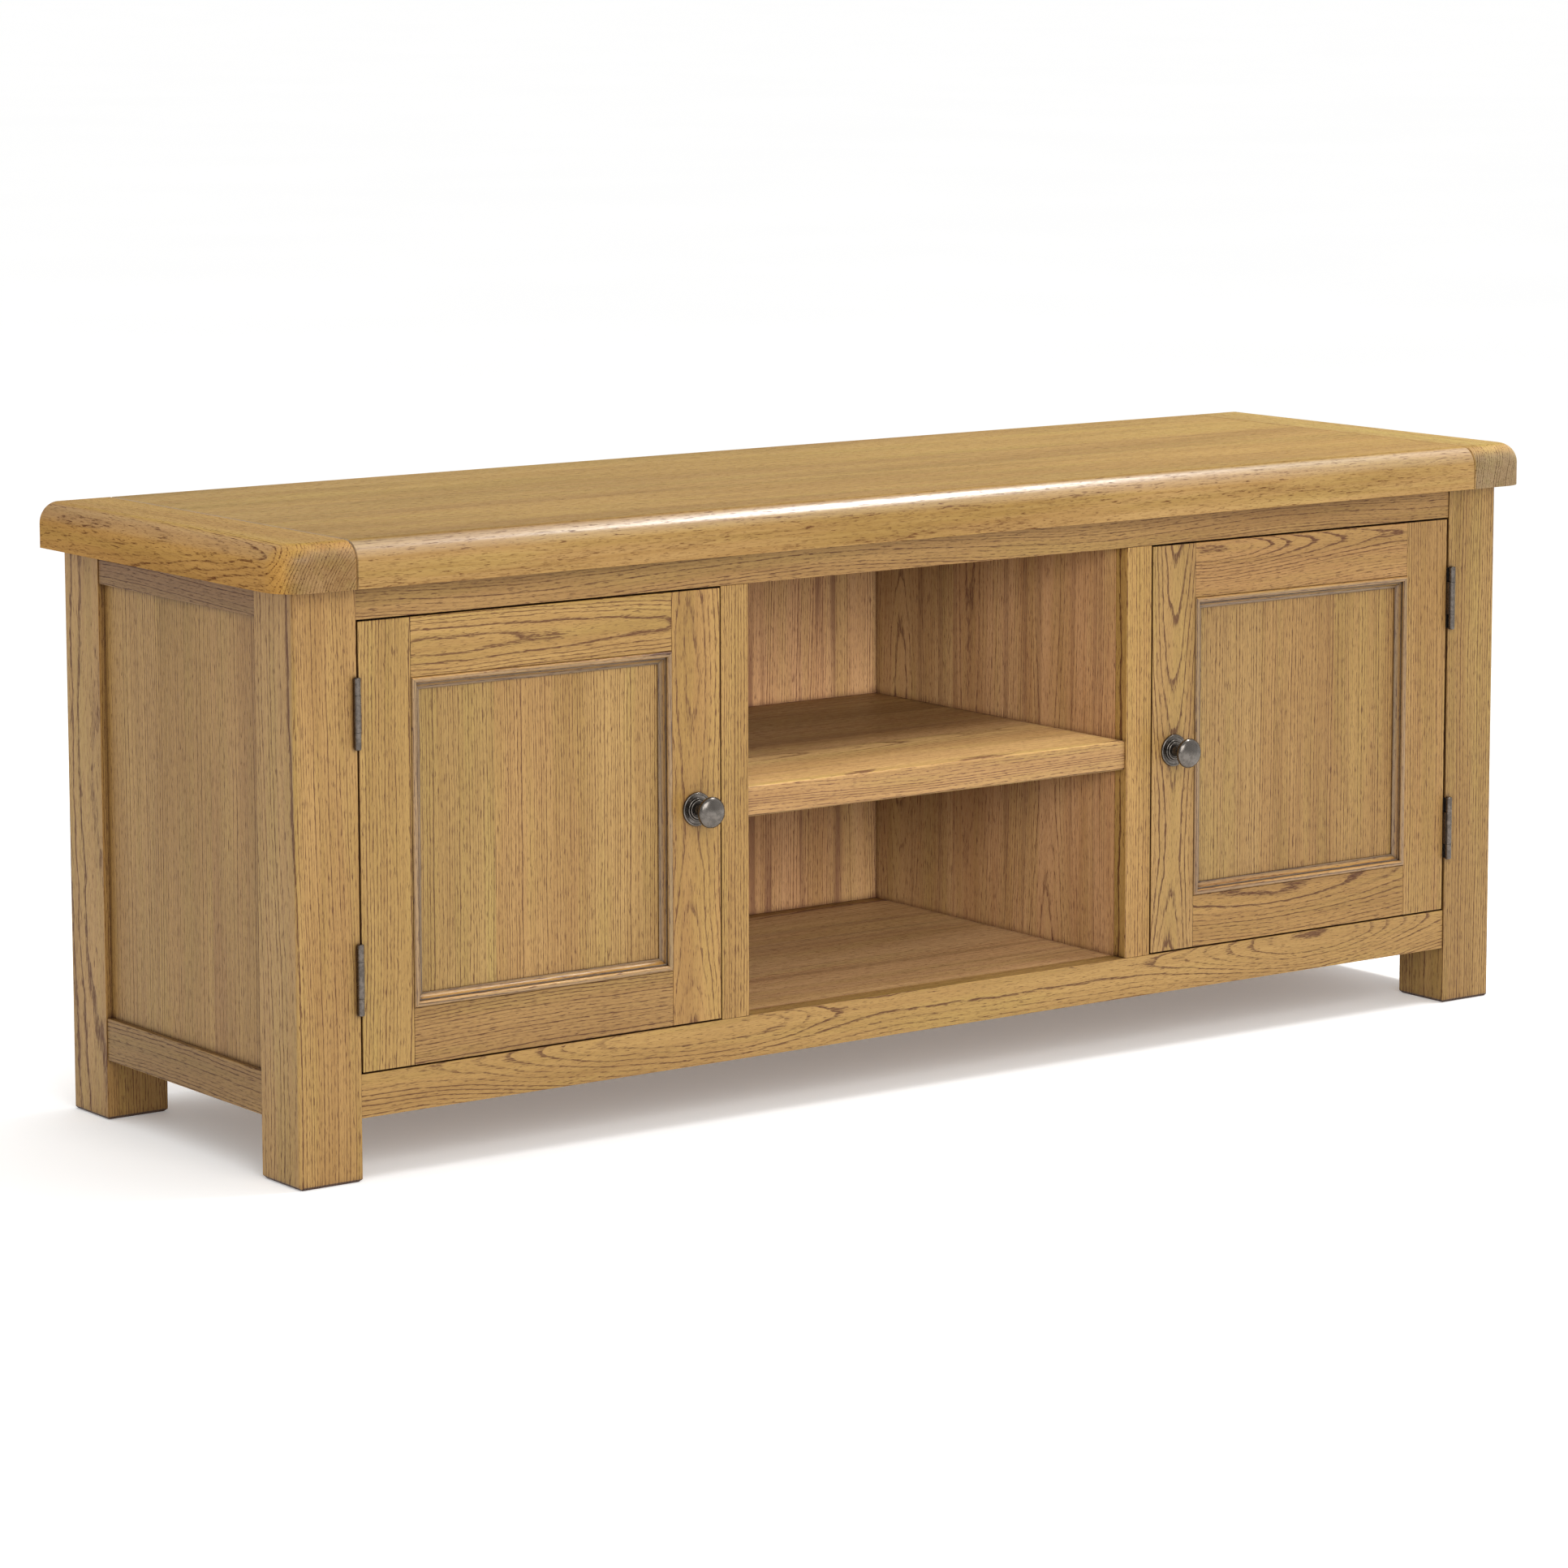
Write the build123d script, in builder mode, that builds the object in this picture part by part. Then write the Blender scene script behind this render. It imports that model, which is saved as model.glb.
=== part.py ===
"""Media cabinet with an open centre bay between two cupboards with inset doors.

Millimetres. +Z is up and the doors face -Y. The origin is on the floor, at the
middle of the whole width and of the whole depth with the knobs.
"""

import os

from build123d import *

# Overall sizes
overall_width = 1500.0
top_depth = 445.0
overall_height = 585.0
top_thickness = 43.0
side_overhang = 24.0
front_overhang = 24.0

# Top
end_board_width = 76.7
edge_round = 20.0
corner_round = 31.0
seam_chamfer = 1.2
tongue_length = 10.0
tongue_thickness = 12.0
tongue_stop = 40.0

# Legs and rails
leg_width = 65.0
leg_depth = 67.0
leg_outer_arris = 4.5
foot_chamfer = 3.0
rail_thickness = 22.0
rail_setback = 1.5
side_rail_setback = 1.0
floor_clearance = 58.0
bottom_rail_height = 40.5
front_top_rail_height = 31.0
side_top_rail_height = 29.5
back_top_rail_height = 42.0
tenon_length = 20.0
tenon_thickness = 10.0
tenon_shoulder = 5.0
arris = 0.8

# Panels, floor and shelves
groove_depth = 6.0
side_panel_thickness = 12.0
side_panel_recess = 6.7
back_panel_thickness = 6.0
back_panel_lap = 8.0
cable_hole_radius = 30.0
floor_thickness = 18.0
floor_tongue = 8.0
bay_width = 461.2
post_width = 31.4
post_thickness = 18.0
post_tenon = 10.0
partition_thickness = 18.0
housing_depth = 5.0
centre_shelf_thickness = 29.0
centre_shelf_height = 288.5
centre_shelf_setback = 4.5
shelf_nose = 2.5
housing_stop = 8.0
cupboard_shelf_thickness = 18.0
cupboard_shelf_height = 292.0
cupboard_shelf_setback = 48.0
shelf_gap = 1.0
pin_radius = 2.5
pin_length = 20.0
pin_inset = 12.0
pin_drop = 0.02

# Doors
door_gap = 1.5
hinge_gap = 2.3
door_setback = 1.0
door_thickness = 22.0
stile_width = 55.0
door_top_rail_height = 55.0
door_bottom_rail_height = 52.5
door_panel_thickness = 8.0
door_panel_recess = 7.0
bead_width = 12.0
bead_proud = 2.0
bead_nose = 5.6
bead_step = 1.4
bead_quirk = 1.6
bead_hollow = 3.2
bead_foot = 1.4
bead_lip = 0.8
mitre_gap = 0.06

# Hinges
barrel_radius = 3.2
pin_shaft_radius = 1.5
pin_clearance = 0.05
axis_proud = 3.4
axis_inset = 4.0
leaf_thickness = 1.6
leaf_width = 20.0
hinge_height = 63.0
middle_knuckle = 33.4
knuckle_gap = 0.3
cap_height = 1.3
lower_hinge_height = 186.0
upper_hinge_height = 427.5

# Screws
screw_head_radius = 3.3
screw_shank_radius = 1.6
screw_length = 16.0
screw_pitch = 20.0
screw_slot = 0.7

# Knobs
knob_height = 303.0
knob_reach = 30.0
knob_radius = 14.8
plate_radius = 15.9
plate_rise = 3.8
rim_width = 2.2
rim_rise = 2.4
rim_fillet = 0.7
dish_rise = 1.7
ring_outer = 10.8
ring_inner = 9.0
ring_rise = 3.2
collar_outer = 8.6
collar_inner = 6.9
collar_rise = 4.4
stem_radius = 6.0
waist_radius = 4.9
waist_reach = 11.4
cup_radius = 9.2
cup_reach = 17.4
shoulder_reach = 22.2
knob_edge = 0.5
knob_edge_height = 4.0
dome_drop = 1.0
knob_screw_radius = 2.0
knob_screw_bite = 12.0
knob_screw_head_radius = 4.0
knob_screw_head_rise = 1.8

# Catches
catch_width = 46.0
catch_depth = 15.0
catch_height = 13.0
strike_width = 38.0
strike_height = 11.0
strike_thickness = 1.2
strike_corner = 3.0
strike_lift = 1.0
catch_inset = 34.0

# Fit between glued or loose wooden parts
fit = 0.15

# How far a cut runs past the face that it opens
overrun = 1.0

# Places worked out from the sizes above
carcass_height = overall_height - top_thickness
carcass_width = overall_width - 2 * side_overhang
knob_proud = max(0.0, knob_reach - door_setback - front_overhang)
back_y = (top_depth + knob_proud) / 2
top_front_y = back_y - top_depth
front_y = top_front_y + front_overhang
left_x = -carcass_width / 2
leg_inner_x = left_x + leg_width
front_leg_back_y = front_y + leg_depth
back_leg_front_y = back_y - leg_depth

rail_front_y = front_y + rail_setback
rail_back_y = rail_front_y + rail_thickness
back_rail_rear_y = back_y - rail_setback
back_rail_front_y = back_rail_rear_y - rail_thickness
side_rail_outer_x = left_x + side_rail_setback
side_rail_inner_x = side_rail_outer_x + rail_thickness

floor_z = floor_clearance + bottom_rail_height
front_rail_low_z = carcass_height - front_top_rail_height
side_rail_low_z = carcass_height - side_top_rail_height
back_rail_low_z = carcass_height - back_top_rail_height
floor_low_z = floor_z - floor_thickness

panel_outer_x = left_x + side_panel_recess
panel_inner_x = panel_outer_x + side_panel_thickness
back_panel_front_y = back_rail_rear_y - back_panel_thickness

bay_x = -bay_width / 2
post_outer_x = bay_x - post_width
post_back_y = rail_front_y + post_thickness
partition_outer_x = bay_x - partition_thickness

shelf_front_y = front_y + cupboard_shelf_setback
shelf_back_y = back_panel_front_y - shelf_gap
pin_rows_y = [shelf_front_y + pin_inset, shelf_back_y - pin_inset]
pin_z = cupboard_shelf_height - pin_radius - pin_drop

door_left_x = leg_inner_x + hinge_gap
door_right_x = post_outer_x - door_gap
door_low_z = floor_z + door_gap
door_high_z = front_rail_low_z - door_gap
door_front_y = front_y + door_setback
door_back_y = door_front_y + door_thickness
stile_inner_x = door_left_x + stile_width
lock_inner_x = door_right_x - stile_width
door_rail_high_z = door_low_z + door_bottom_rail_height
door_rail_low_z = door_high_z - door_top_rail_height
door_panel_front_y = door_front_y + door_panel_recess
door_panel_back_y = door_panel_front_y + door_panel_thickness

axis_x = door_left_x - axis_inset
axis_y = front_y - axis_proud
hinge_rows_z = [lower_hinge_height, upper_hinge_height]
screw_y = (door_front_y + axis_y + axis_proud + leaf_width) / 2
knob_x = (lock_inner_x + door_right_x) / 2
catch_x = door_right_x - catch_inset


def block(low, high, mode=Mode.ADD):
    """Box between its lowest and highest corners."""
    size = [b - a for a, b in zip(low, high)]
    middle = [(a + b) / 2 for a, b in zip(low, high)]
    with Locations(tuple(middle)):
        Box(*size, mode=mode)


def cut(low, high):
    """Box taken out of the piece."""
    block(low, high, Mode.SUBTRACT)


def eased(low, high, radius=arris):
    """Sawn and sanded blank: a box with every edge rounded."""
    with BuildPart() as blank:
        block(low, high)
        fillet(blank.edges(), radius)
    return blank.part


def save(piece, name):
    """Name the piece and write it to its own file."""
    piece.part.label = name
    export_step(piece.part, f"parts/{name}.step")


def save_pair(piece, left_name, right_name):
    """Write the left-hand piece and its mirror image."""
    save(piece, left_name)
    with BuildPart() as mirrored:
        mirror(piece.part, about=Plane.YZ)
    save(mirrored, right_name)


def turned(plane, profile, mode=Mode.ADD):
    """Turn a closed outline of (radius, height) points about the plane's normal."""
    axis = Axis(plane.origin, plane.z_dir)
    with BuildSketch(Plane(plane.origin, x_dir=plane.x_dir, z_dir=-plane.y_dir)) as outline:
        with BuildLine():
            Polyline(*profile, close=True)
        make_face()
    revolve(outline.sketch, axis=axis, mode=mode)


def screw_outline(room=0.0):
    """Half outline of a countersunk wood screw, head at height 0 and shank below it."""
    neck = -(screw_head_radius - screw_shank_radius)
    shank = screw_shank_radius + room
    return [
        (0, 0),
        (screw_head_radius + room, 0),
        (shank, neck),
        (shank, -screw_length + shank),
        (0, -screw_length - room),
    ]


def screw_hole(plane):
    """Countersunk hole for a wood screw."""
    turned(plane, screw_outline(pin_clearance), Mode.SUBTRACT)


def screw(plane):
    """Countersunk wood screw with a cross in its head."""
    turned(plane, screw_outline())
    arm = 1.3 * screw_head_radius
    with Locations(plane):
        Box(arm, screw_slot, 2 * screw_slot, mode=Mode.SUBTRACT)
        Box(screw_slot, arm, 2 * screw_slot, mode=Mode.SUBTRACT)


# ---------------------------------------------------------------- top


def top_blank():
    """The whole top before it is divided, with its upper edges rounded over."""
    with BuildPart() as slab:
        with BuildSketch(Plane.XY.offset(carcass_height)) as outline:
            with Locations((0, top_front_y + top_depth / 2)):
                Rectangle(overall_width, top_depth)
            fillet(outline.vertices().group_by(Axis.Y)[0], corner_round)
        extrude(amount=top_thickness)
        upper = slab.faces().sort_by(Axis.Z)[-1].edges()
        fillet([edge for edge in upper if edge.center().Y < back_y - overrun], edge_round)
    return slab.part


seam_x = overall_width / 2 - end_board_width
tongue_mid_z = carcass_height + top_thickness / 2 - seam_chamfer


def seam_box(reach, room, mode):
    """Tongue at the left seam, or with room the groove that takes it."""
    half = tongue_thickness / 2 + room
    block(
        (-seam_x - reach - room, top_front_y + tongue_stop - room, tongue_mid_z - half),
        (-seam_x + (0 if room else overrun), back_y - tongue_stop + room, tongue_mid_z + half),
        mode,
    )


def ease_seam(piece):
    """Chamfer the seam's edges, all but the one underneath."""
    for face in piece.faces().filter_by(Axis.X):
        if abs(abs(face.center().X) - seam_x) < arris:
            seam = [edge for edge in face.edges() if edge.center().Z > carcass_height + arris]
            chamfer(seam, seam_chamfer)


slab = top_blank()

with BuildPart() as top_end:
    add(slab)
    split(bisect_by=Plane.YZ.offset(-seam_x), keep=Keep.BOTTOM)
    ease_seam(top_end)
    seam_box(tongue_length, fit, Mode.SUBTRACT)

with BuildPart() as top_panel:
    add(slab)
    split(bisect_by=Plane.YZ.offset(-seam_x), keep=Keep.TOP)
    split(bisect_by=Plane.YZ.offset(seam_x), keep=Keep.BOTTOM)
    ease_seam(top_panel)
    seam_box(tongue_length, 0, Mode.ADD)
    mirror(about=Plane.YZ)

# ---------------------------------------------------------------- legs and rails


def tenon_box(low, high, along, room=0.0, mode=Mode.ADD):
    """Tenon inside the rail's section low..high that runs along one axis.

    The section is set in from the rail's faces to the tenon's thickness, and from
    its edges by the shoulder. With room it is the mortise.
    """
    across = 1 - along
    low = list(low)
    high = list(high)
    inset = (high[across] - low[across] - tenon_thickness) / 2
    low[across] += inset - room
    high[across] -= inset - room
    low[2] += tenon_shoulder - room
    high[2] -= tenon_shoulder - room
    low[along] -= room
    high[along] += room
    block(low, high, mode)


# Each rail's section where it enters the left legs: low and high corners of the tenon's stretch
leg_tenon_x = (leg_inner_x - tenon_length, leg_inner_x)
front_leg_tenon_y = (front_leg_back_y - tenon_length, front_leg_back_y)
back_leg_tenon_y = (back_leg_front_y, back_leg_front_y + tenon_length)
front_rails = {
    "front_top_rail": (rail_front_y, rail_back_y, front_rail_low_z, carcass_height),
    "front_bottom_rail": (rail_front_y, rail_back_y, floor_clearance, floor_z),
}
back_rails = {
    "back_top_rail": (back_rail_front_y, back_rail_rear_y, back_rail_low_z, carcass_height),
    "back_bottom_rail": (back_rail_front_y, back_rail_rear_y, floor_clearance, floor_z),
}
side_rails = {
    "side_top_rail": (side_rail_low_z, carcass_height),
    "side_bottom_rail": (floor_clearance, floor_z),
}


def leg_blank(low_y, high_y, outer_y):
    """Square leg with soft long edges and a small chamfer round its foot."""
    with BuildPart() as blank:
        block((left_x, low_y, 0), (leg_inner_x, high_y, carcass_height))
        chamfer(blank.edges().group_by(Axis.Z)[0], foot_chamfer)
        outer = blank.edges().filter_by(Axis.Z).sort_by_distance((left_x, outer_y, leg_width))[0]
        fillet(outer, leg_outer_arris)
        upright = blank.edges().filter_by(Axis.Z)
        sharp = [edge for edge in upright if edge.center().X > leg_inner_x - overrun]
        fillet(sharp, arris)
    return blank.part


def side_joints(tenon_y, groove_low_y, groove_high_y):
    """Mortises for the side rails, and the groove for the side panel."""
    for low_z, high_z in side_rails.values():
        low = (side_rail_outer_x, tenon_y[0], low_z)
        high = (side_rail_inner_x, tenon_y[1], high_z)
        tenon_box(low, high, 1, fit, Mode.SUBTRACT)
    cut(
        (panel_outer_x - fit, groove_low_y, floor_z - groove_depth),
        (panel_inner_x + fit, groove_high_y, side_rail_low_z + groove_depth),
    )


def end_joints(rails):
    """Mortises for the front or back rails."""
    for low_y, high_y, low_z, high_z in rails.values():
        low = (leg_tenon_x[0], low_y, low_z)
        high = (leg_tenon_x[1], high_y, high_z)
        tenon_box(low, high, 0, fit, Mode.SUBTRACT)


def pin_hole(x, y, direction):
    """Hole for half of a shelf pin."""
    with Locations(Plane((x, y, pin_z), z_dir=(direction, 0, 0))):
        Cylinder(
            pin_radius + pin_clearance,
            pin_length / 2 + fit,
            align=(Align.CENTER, Align.CENTER, Align.MIN),
            mode=Mode.SUBTRACT,
        )


def leaf_screws(z, face_x, direction, act):
    """The three screws of one hinge leaf, whose head faces along direction."""
    for step in (-1, 0, 1):
        act(Plane((face_x, screw_y, z + step * screw_pitch), z_dir=(direction, 0, 0)))


with BuildPart() as front_leg:
    add(leg_blank(front_y, front_leg_back_y, front_y))
    side_joints(front_leg_tenon_y, front_leg_back_y - groove_depth, front_leg_back_y)
    end_joints(front_rails)
    pin_hole(leg_inner_x, pin_rows_y[0], -1)
    for hinge_z in hinge_rows_z:
        cut(
            (leg_inner_x - leaf_thickness, front_y - overrun, hinge_z - hinge_height / 2 - fit),
            (leg_inner_x, front_y + leaf_width + fit, hinge_z + hinge_height / 2 + fit),
        )
        leaf_screws(hinge_z, leg_inner_x, 1, screw_hole)

with BuildPart() as back_leg:
    add(leg_blank(back_leg_front_y, back_y, back_y))
    side_joints(back_leg_tenon_y, back_leg_front_y, back_leg_front_y + groove_depth)
    end_joints(back_rails)
    pin_hole(leg_inner_x, pin_rows_y[1], -1)
    cut(
        (leg_inner_x - back_panel_lap, back_panel_front_y, floor_z - back_panel_lap),
        (leg_inner_x, back_y, back_rail_low_z + back_panel_lap),
    )


def long_rail(low_y, high_y, low_z, high_z):
    """Rail between the left and right legs, with a tenon at each end."""
    add(eased((leg_inner_x, low_y, low_z), (-leg_inner_x, high_y, high_z)))
    low = (-(tenon_length - fit) + leg_inner_x, low_y, low_z)
    high = (-leg_inner_x + tenon_length - fit, high_y, high_z)
    tenon_box(low, high, 0)


def post_mortises(low_z, high_z):
    """Mortises for the tenons of both divider posts."""
    inset = (post_thickness - tenon_thickness) / 2
    for side in (-1, 1):
        inner = side * (bay_x - tenon_shoulder + fit)
        outer = side * (post_outer_x + tenon_shoulder - fit)
        cut(
            (min(inner, outer), rail_front_y + inset - fit, low_z),
            (max(inner, outer), post_back_y - inset + fit, high_z),
        )


def floor_groove(low_y, high_y):
    """Groove in a bottom rail for the floor board's tongue."""
    middle = (floor_z + floor_low_z) / 2
    half = floor_tongue / 2 + fit
    cut(
        (leg_inner_x - overrun, low_y, middle - half),
        (-leg_inner_x + overrun, high_y, middle + half),
    )


with BuildPart() as front_top_rail:
    long_rail(*front_rails["front_top_rail"])
    post_mortises(front_rail_low_z, front_rail_low_z + post_tenon + fit)

with BuildPart() as front_bottom_rail:
    long_rail(*front_rails["front_bottom_rail"])
    post_mortises(floor_z - post_tenon - fit, floor_z)
    floor_groove(rail_back_y - groove_depth, rail_back_y)

with BuildPart() as back_top_rail:
    long_rail(*back_rails["back_top_rail"])
    cut(
        (leg_inner_x, back_panel_front_y, back_rail_low_z),
        (-leg_inner_x, back_rail_rear_y, back_rail_low_z + back_panel_lap),
    )

with BuildPart() as back_bottom_rail:
    long_rail(*back_rails["back_bottom_rail"])
    floor_groove(back_rail_front_y, back_rail_front_y + groove_depth)
    cut(
        (leg_inner_x, back_panel_front_y, floor_z - back_panel_lap),
        (-leg_inner_x, back_rail_rear_y, floor_z),
    )


def side_rail(low_z, high_z, groove_low_z, groove_high_z):
    """Rail between the front and back legs, grooved for the side panel."""
    low = (side_rail_outer_x, front_leg_back_y, low_z)
    high = (side_rail_inner_x, back_leg_front_y, high_z)
    add(eased(low, high))
    reach = tenon_length - fit
    low = (side_rail_outer_x, front_leg_back_y - reach, low_z)
    high = (side_rail_inner_x, back_leg_front_y + reach, high_z)
    tenon_box(low, high, 1)
    cut(
        (panel_outer_x - fit, front_leg_back_y - groove_depth, groove_low_z),
        (panel_inner_x + fit, back_leg_front_y + groove_depth, groove_high_z),
    )


with BuildPart() as side_top_rail:
    side_rail(*side_rails["side_top_rail"], side_rail_low_z, side_rail_low_z + groove_depth)

with BuildPart() as side_bottom_rail:
    side_rail(*side_rails["side_bottom_rail"], floor_z - groove_depth, floor_z)

with BuildPart() as side_panel:
    tongue = groove_depth - fit
    block(
        (panel_outer_x, front_leg_back_y - tongue, floor_z - tongue),
        (panel_inner_x, back_leg_front_y + tongue, side_rail_low_z + tongue),
    )

# ---------------------------------------------------------------- dividers, floor, back and shelves

with BuildPart() as divider_post:
    add(eased((post_outer_x, rail_front_y, floor_z), (bay_x, post_back_y, front_rail_low_z)))
    inset = (post_thickness - tenon_thickness) / 2
    block(
        (post_outer_x + tenon_shoulder, rail_front_y + inset, floor_z - post_tenon),
        (bay_x - tenon_shoulder, post_back_y - inset, front_rail_low_z + post_tenon),
    )

floor_x = side_rail_inner_x + fit
dado_front_y = rail_back_y + fit
dado_back_y = back_rail_front_y - fit
partition_back_y = back_panel_front_y

with BuildPart() as partition:
    block(
        (partition_outer_x, post_back_y, floor_z),
        (bay_x, partition_back_y, carcass_height),
    )
    block(
        (partition_outer_x, dado_front_y + fit, floor_z - housing_depth + fit),
        (bay_x, dado_back_y - fit, floor_z),
    )
    cut(
        (partition_outer_x, post_back_y, front_rail_low_z),
        (bay_x, rail_back_y, carcass_height),
    )
    cut(
        (partition_outer_x, back_rail_front_y, back_rail_low_z),
        (bay_x, partition_back_y, carcass_height),
    )
    cut(
        (
            bay_x - housing_depth,
            post_back_y + housing_stop,
            centre_shelf_height - pin_clearance,
        ),
        (bay_x, partition_back_y, centre_shelf_height + centre_shelf_thickness + pin_clearance),
    )
    for row_y in pin_rows_y:
        pin_hole(partition_outer_x, row_y, 1)

with BuildPart() as floor_board:
    block((floor_x, rail_back_y, floor_low_z), (-floor_x, back_rail_front_y, floor_z))
    middle = (floor_z + floor_low_z) / 2
    reach = groove_depth - fit
    block(
        (leg_inner_x + fit, rail_back_y - reach, middle - floor_tongue / 2),
        (-leg_inner_x - fit, back_rail_front_y + reach, middle + floor_tongue / 2),
    )
    for side in (-1, 1):
        outer = side * (left_x - overrun)
        inner = side * (leg_inner_x + fit)
        cut(
            (min(outer, inner), front_y, floor_low_z),
            (max(outer, inner), front_leg_back_y + fit, floor_z),
        )
        cut(
            (min(outer, inner), back_leg_front_y - fit, floor_low_z),
            (max(outer, inner), back_y, floor_z),
        )
        bay_side = side * (bay_x + pin_clearance)
        cupboard_side = side * (partition_outer_x - pin_clearance)
        cut(
            (min(bay_side, cupboard_side), dado_front_y, floor_z - housing_depth),
            (max(bay_side, cupboard_side), dado_back_y, floor_z),
        )

lower_bay_mid_z = (floor_z + centre_shelf_height) / 2
upper_bay_mid_z = (centre_shelf_height + centre_shelf_thickness + back_rail_low_z) / 2

with BuildPart() as back_panel:
    lap = back_panel_lap - fit
    block(
        (leg_inner_x - lap, back_panel_front_y, floor_z - lap),
        (-leg_inner_x + lap, back_rail_rear_y, back_rail_low_z + lap),
    )
    for hole_z in (lower_bay_mid_z, upper_bay_mid_z):
        with Locations(Plane((0, back_rail_rear_y, hole_z), z_dir=(0, 1, 0))):
            Cylinder(cable_hole_radius, 3 * back_panel_thickness, mode=Mode.SUBTRACT)

with BuildPart() as centre_shelf:
    high_z = centre_shelf_height + centre_shelf_thickness
    block(
        (bay_x, front_y + centre_shelf_setback, centre_shelf_height),
        (-bay_x, back_panel_front_y, high_z),
    )
    fillet(centre_shelf.edges().filter_by(Axis.X).group_by(Axis.Y)[0], shelf_nose)
    reach = housing_depth - fit
    block(
        (bay_x - reach, post_back_y + housing_stop + fit, centre_shelf_height),
        (-bay_x + reach, back_panel_front_y, high_z),
    )

with BuildPart() as cupboard_shelf:
    high_z = cupboard_shelf_height + cupboard_shelf_thickness
    add(
        eased(
            (panel_inner_x + shelf_gap, shelf_front_y, cupboard_shelf_height),
            (partition_outer_x - shelf_gap, shelf_back_y, high_z),
        )
    )
    corner_x = leg_inner_x + shelf_gap
    cut((left_x, front_y, cupboard_shelf_height), (corner_x, front_leg_back_y + shelf_gap, high_z))
    cut((left_x, back_leg_front_y - shelf_gap, cupboard_shelf_height), (corner_x, back_y, high_z))

with BuildPart() as shelf_pins:
    for row_y in pin_rows_y:
        for wall_x in (leg_inner_x, partition_outer_x):
            for side in (-1, 1):
                with Locations(Plane((side * wall_x, row_y, pin_z), z_dir=(1, 0, 0))):
                    Cylinder(pin_radius, pin_length)
    ends = shelf_pins.edges().filter_by(GeomType.CIRCLE)
    chamfer(ends, pin_radius / 4)

# ---------------------------------------------------------------- doors


def panel_groove(low_x, high_x, low_z, high_z):
    """Groove for the door's panel."""
    cut(
        (low_x, door_panel_front_y - fit, low_z),
        (high_x, door_panel_back_y + fit, high_z),
    )


def stile(low_x, high_x):
    """Upright of the door's frame, from the bottom of the door to its top."""
    add(eased((low_x, door_front_y, door_low_z), (high_x, door_back_y, door_high_z)))


def door_rail(low_z, high_z, groove_low_z, groove_high_z):
    """Cross-piece of the door's frame, with stub tenons that fill the stiles' grooves."""
    add(eased((stile_inner_x, door_front_y, low_z), (lock_inner_x, door_back_y, high_z)))
    reach = groove_depth - fit
    block(
        (stile_inner_x - reach, door_panel_front_y, low_z + arris),
        (lock_inner_x + reach, door_panel_back_y, high_z - arris),
    )
    panel_groove(stile_inner_x - groove_depth, lock_inner_x + groove_depth, groove_low_z, groove_high_z)


with BuildPart() as hinge_stile:
    stile(door_left_x, stile_inner_x)
    panel_groove(stile_inner_x - groove_depth, stile_inner_x, door_low_z, door_high_z)
    for hinge_z in hinge_rows_z:
        leaf_screws(hinge_z, door_left_x - leaf_thickness, -1, screw_hole)

with BuildPart() as lock_stile:
    stile(lock_inner_x, door_right_x)
    panel_groove(lock_inner_x, lock_inner_x + groove_depth, door_low_z, door_high_z)
    with Locations(Plane((knob_x, door_front_y, knob_height), z_dir=(0, 1, 0))):
        Cylinder(knob_screw_radius + fit, 3 * door_thickness, mode=Mode.SUBTRACT)

with BuildPart() as door_top_rail:
    door_rail(door_rail_low_z, door_high_z, door_rail_low_z, door_rail_low_z + groove_depth)

with BuildPart() as door_bottom_rail:
    door_rail(door_low_z, door_rail_high_z, door_rail_high_z - groove_depth, door_rail_high_z)

with BuildPart() as door_panel:
    tongue = groove_depth - 4 * fit
    block(
        (stile_inner_x - tongue, door_panel_front_y, door_rail_high_z - tongue),
        (lock_inner_x + tongue, door_panel_back_y, door_rail_low_z + tongue),
    )


def bead_length(corner, inward, half_length):
    """One mitred length of beading.

    corner is the middle of its outer edge at the frame's front face, and inward points
    across the opening towards the other side.
    """
    plane = Plane(corner, x_dir=inward, z_dir=Vector(*inward).cross(Vector(0, -1, 0)))
    with BuildPart() as bead:
        with BuildSketch(plane):
            with BuildLine():
                bottom = -door_panel_recess
                quirk_end = (bead_nose + bead_quirk, -bead_step)
                nose = ThreePointArc((0, 0), (bead_nose / 2, bead_proud), (bead_nose, 0))
                Polyline(nose @ 1, (bead_nose, -bead_step), quirk_end)
                hollow = ThreePointArc(
                    quirk_end,
                    ((bead_nose + bead_width) / 2 - bead_lip / 2, bottom + bead_hollow),
                    (bead_width - bead_lip, bottom + bead_foot),
                )
                foot = (bead_width, bottom + bead_foot)
                Polyline(hollow @ 1, foot, (bead_width, bottom), (0, bottom), (0, 0))
            make_face()
        extrude(amount=half_length, both=True)
        for end in (-1, 1):
            tip = plane.from_local_coords((0, 0, end * half_length))
            lean = -plane.x_dir - plane.z_dir * end
            edge = Plane(tip + lean.normalized() * mitre_gap, z_dir=lean)
            split(bisect_by=edge, keep=Keep.TOP)
    return bead.part


opening_mid_x = (stile_inner_x + lock_inner_x) / 2
opening_mid_z = (door_rail_high_z + door_rail_low_z) / 2
half_opening_x = (lock_inner_x - stile_inner_x) / 2
half_opening_z = (door_rail_low_z - door_rail_high_z) / 2
bead_lengths = []
for sign in (1, -1):
    upright = (opening_mid_x - sign * half_opening_x, door_front_y, opening_mid_z)
    level = (opening_mid_x, door_front_y, opening_mid_z - sign * half_opening_z)
    bead_lengths.append(bead_length(upright, (sign, 0, 0), half_opening_z))
    bead_lengths.append(bead_length(level, (0, 0, sign), half_opening_x))

with BuildPart() as beading:
    for length in bead_lengths:
        add(length)

# ---------------------------------------------------------------- knobs

knob_plane = Plane((knob_x, door_front_y, knob_height), x_dir=(1, 0, 0), z_dir=(0, -1, 0))
plate_bore = knob_screw_radius + fit

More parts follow.
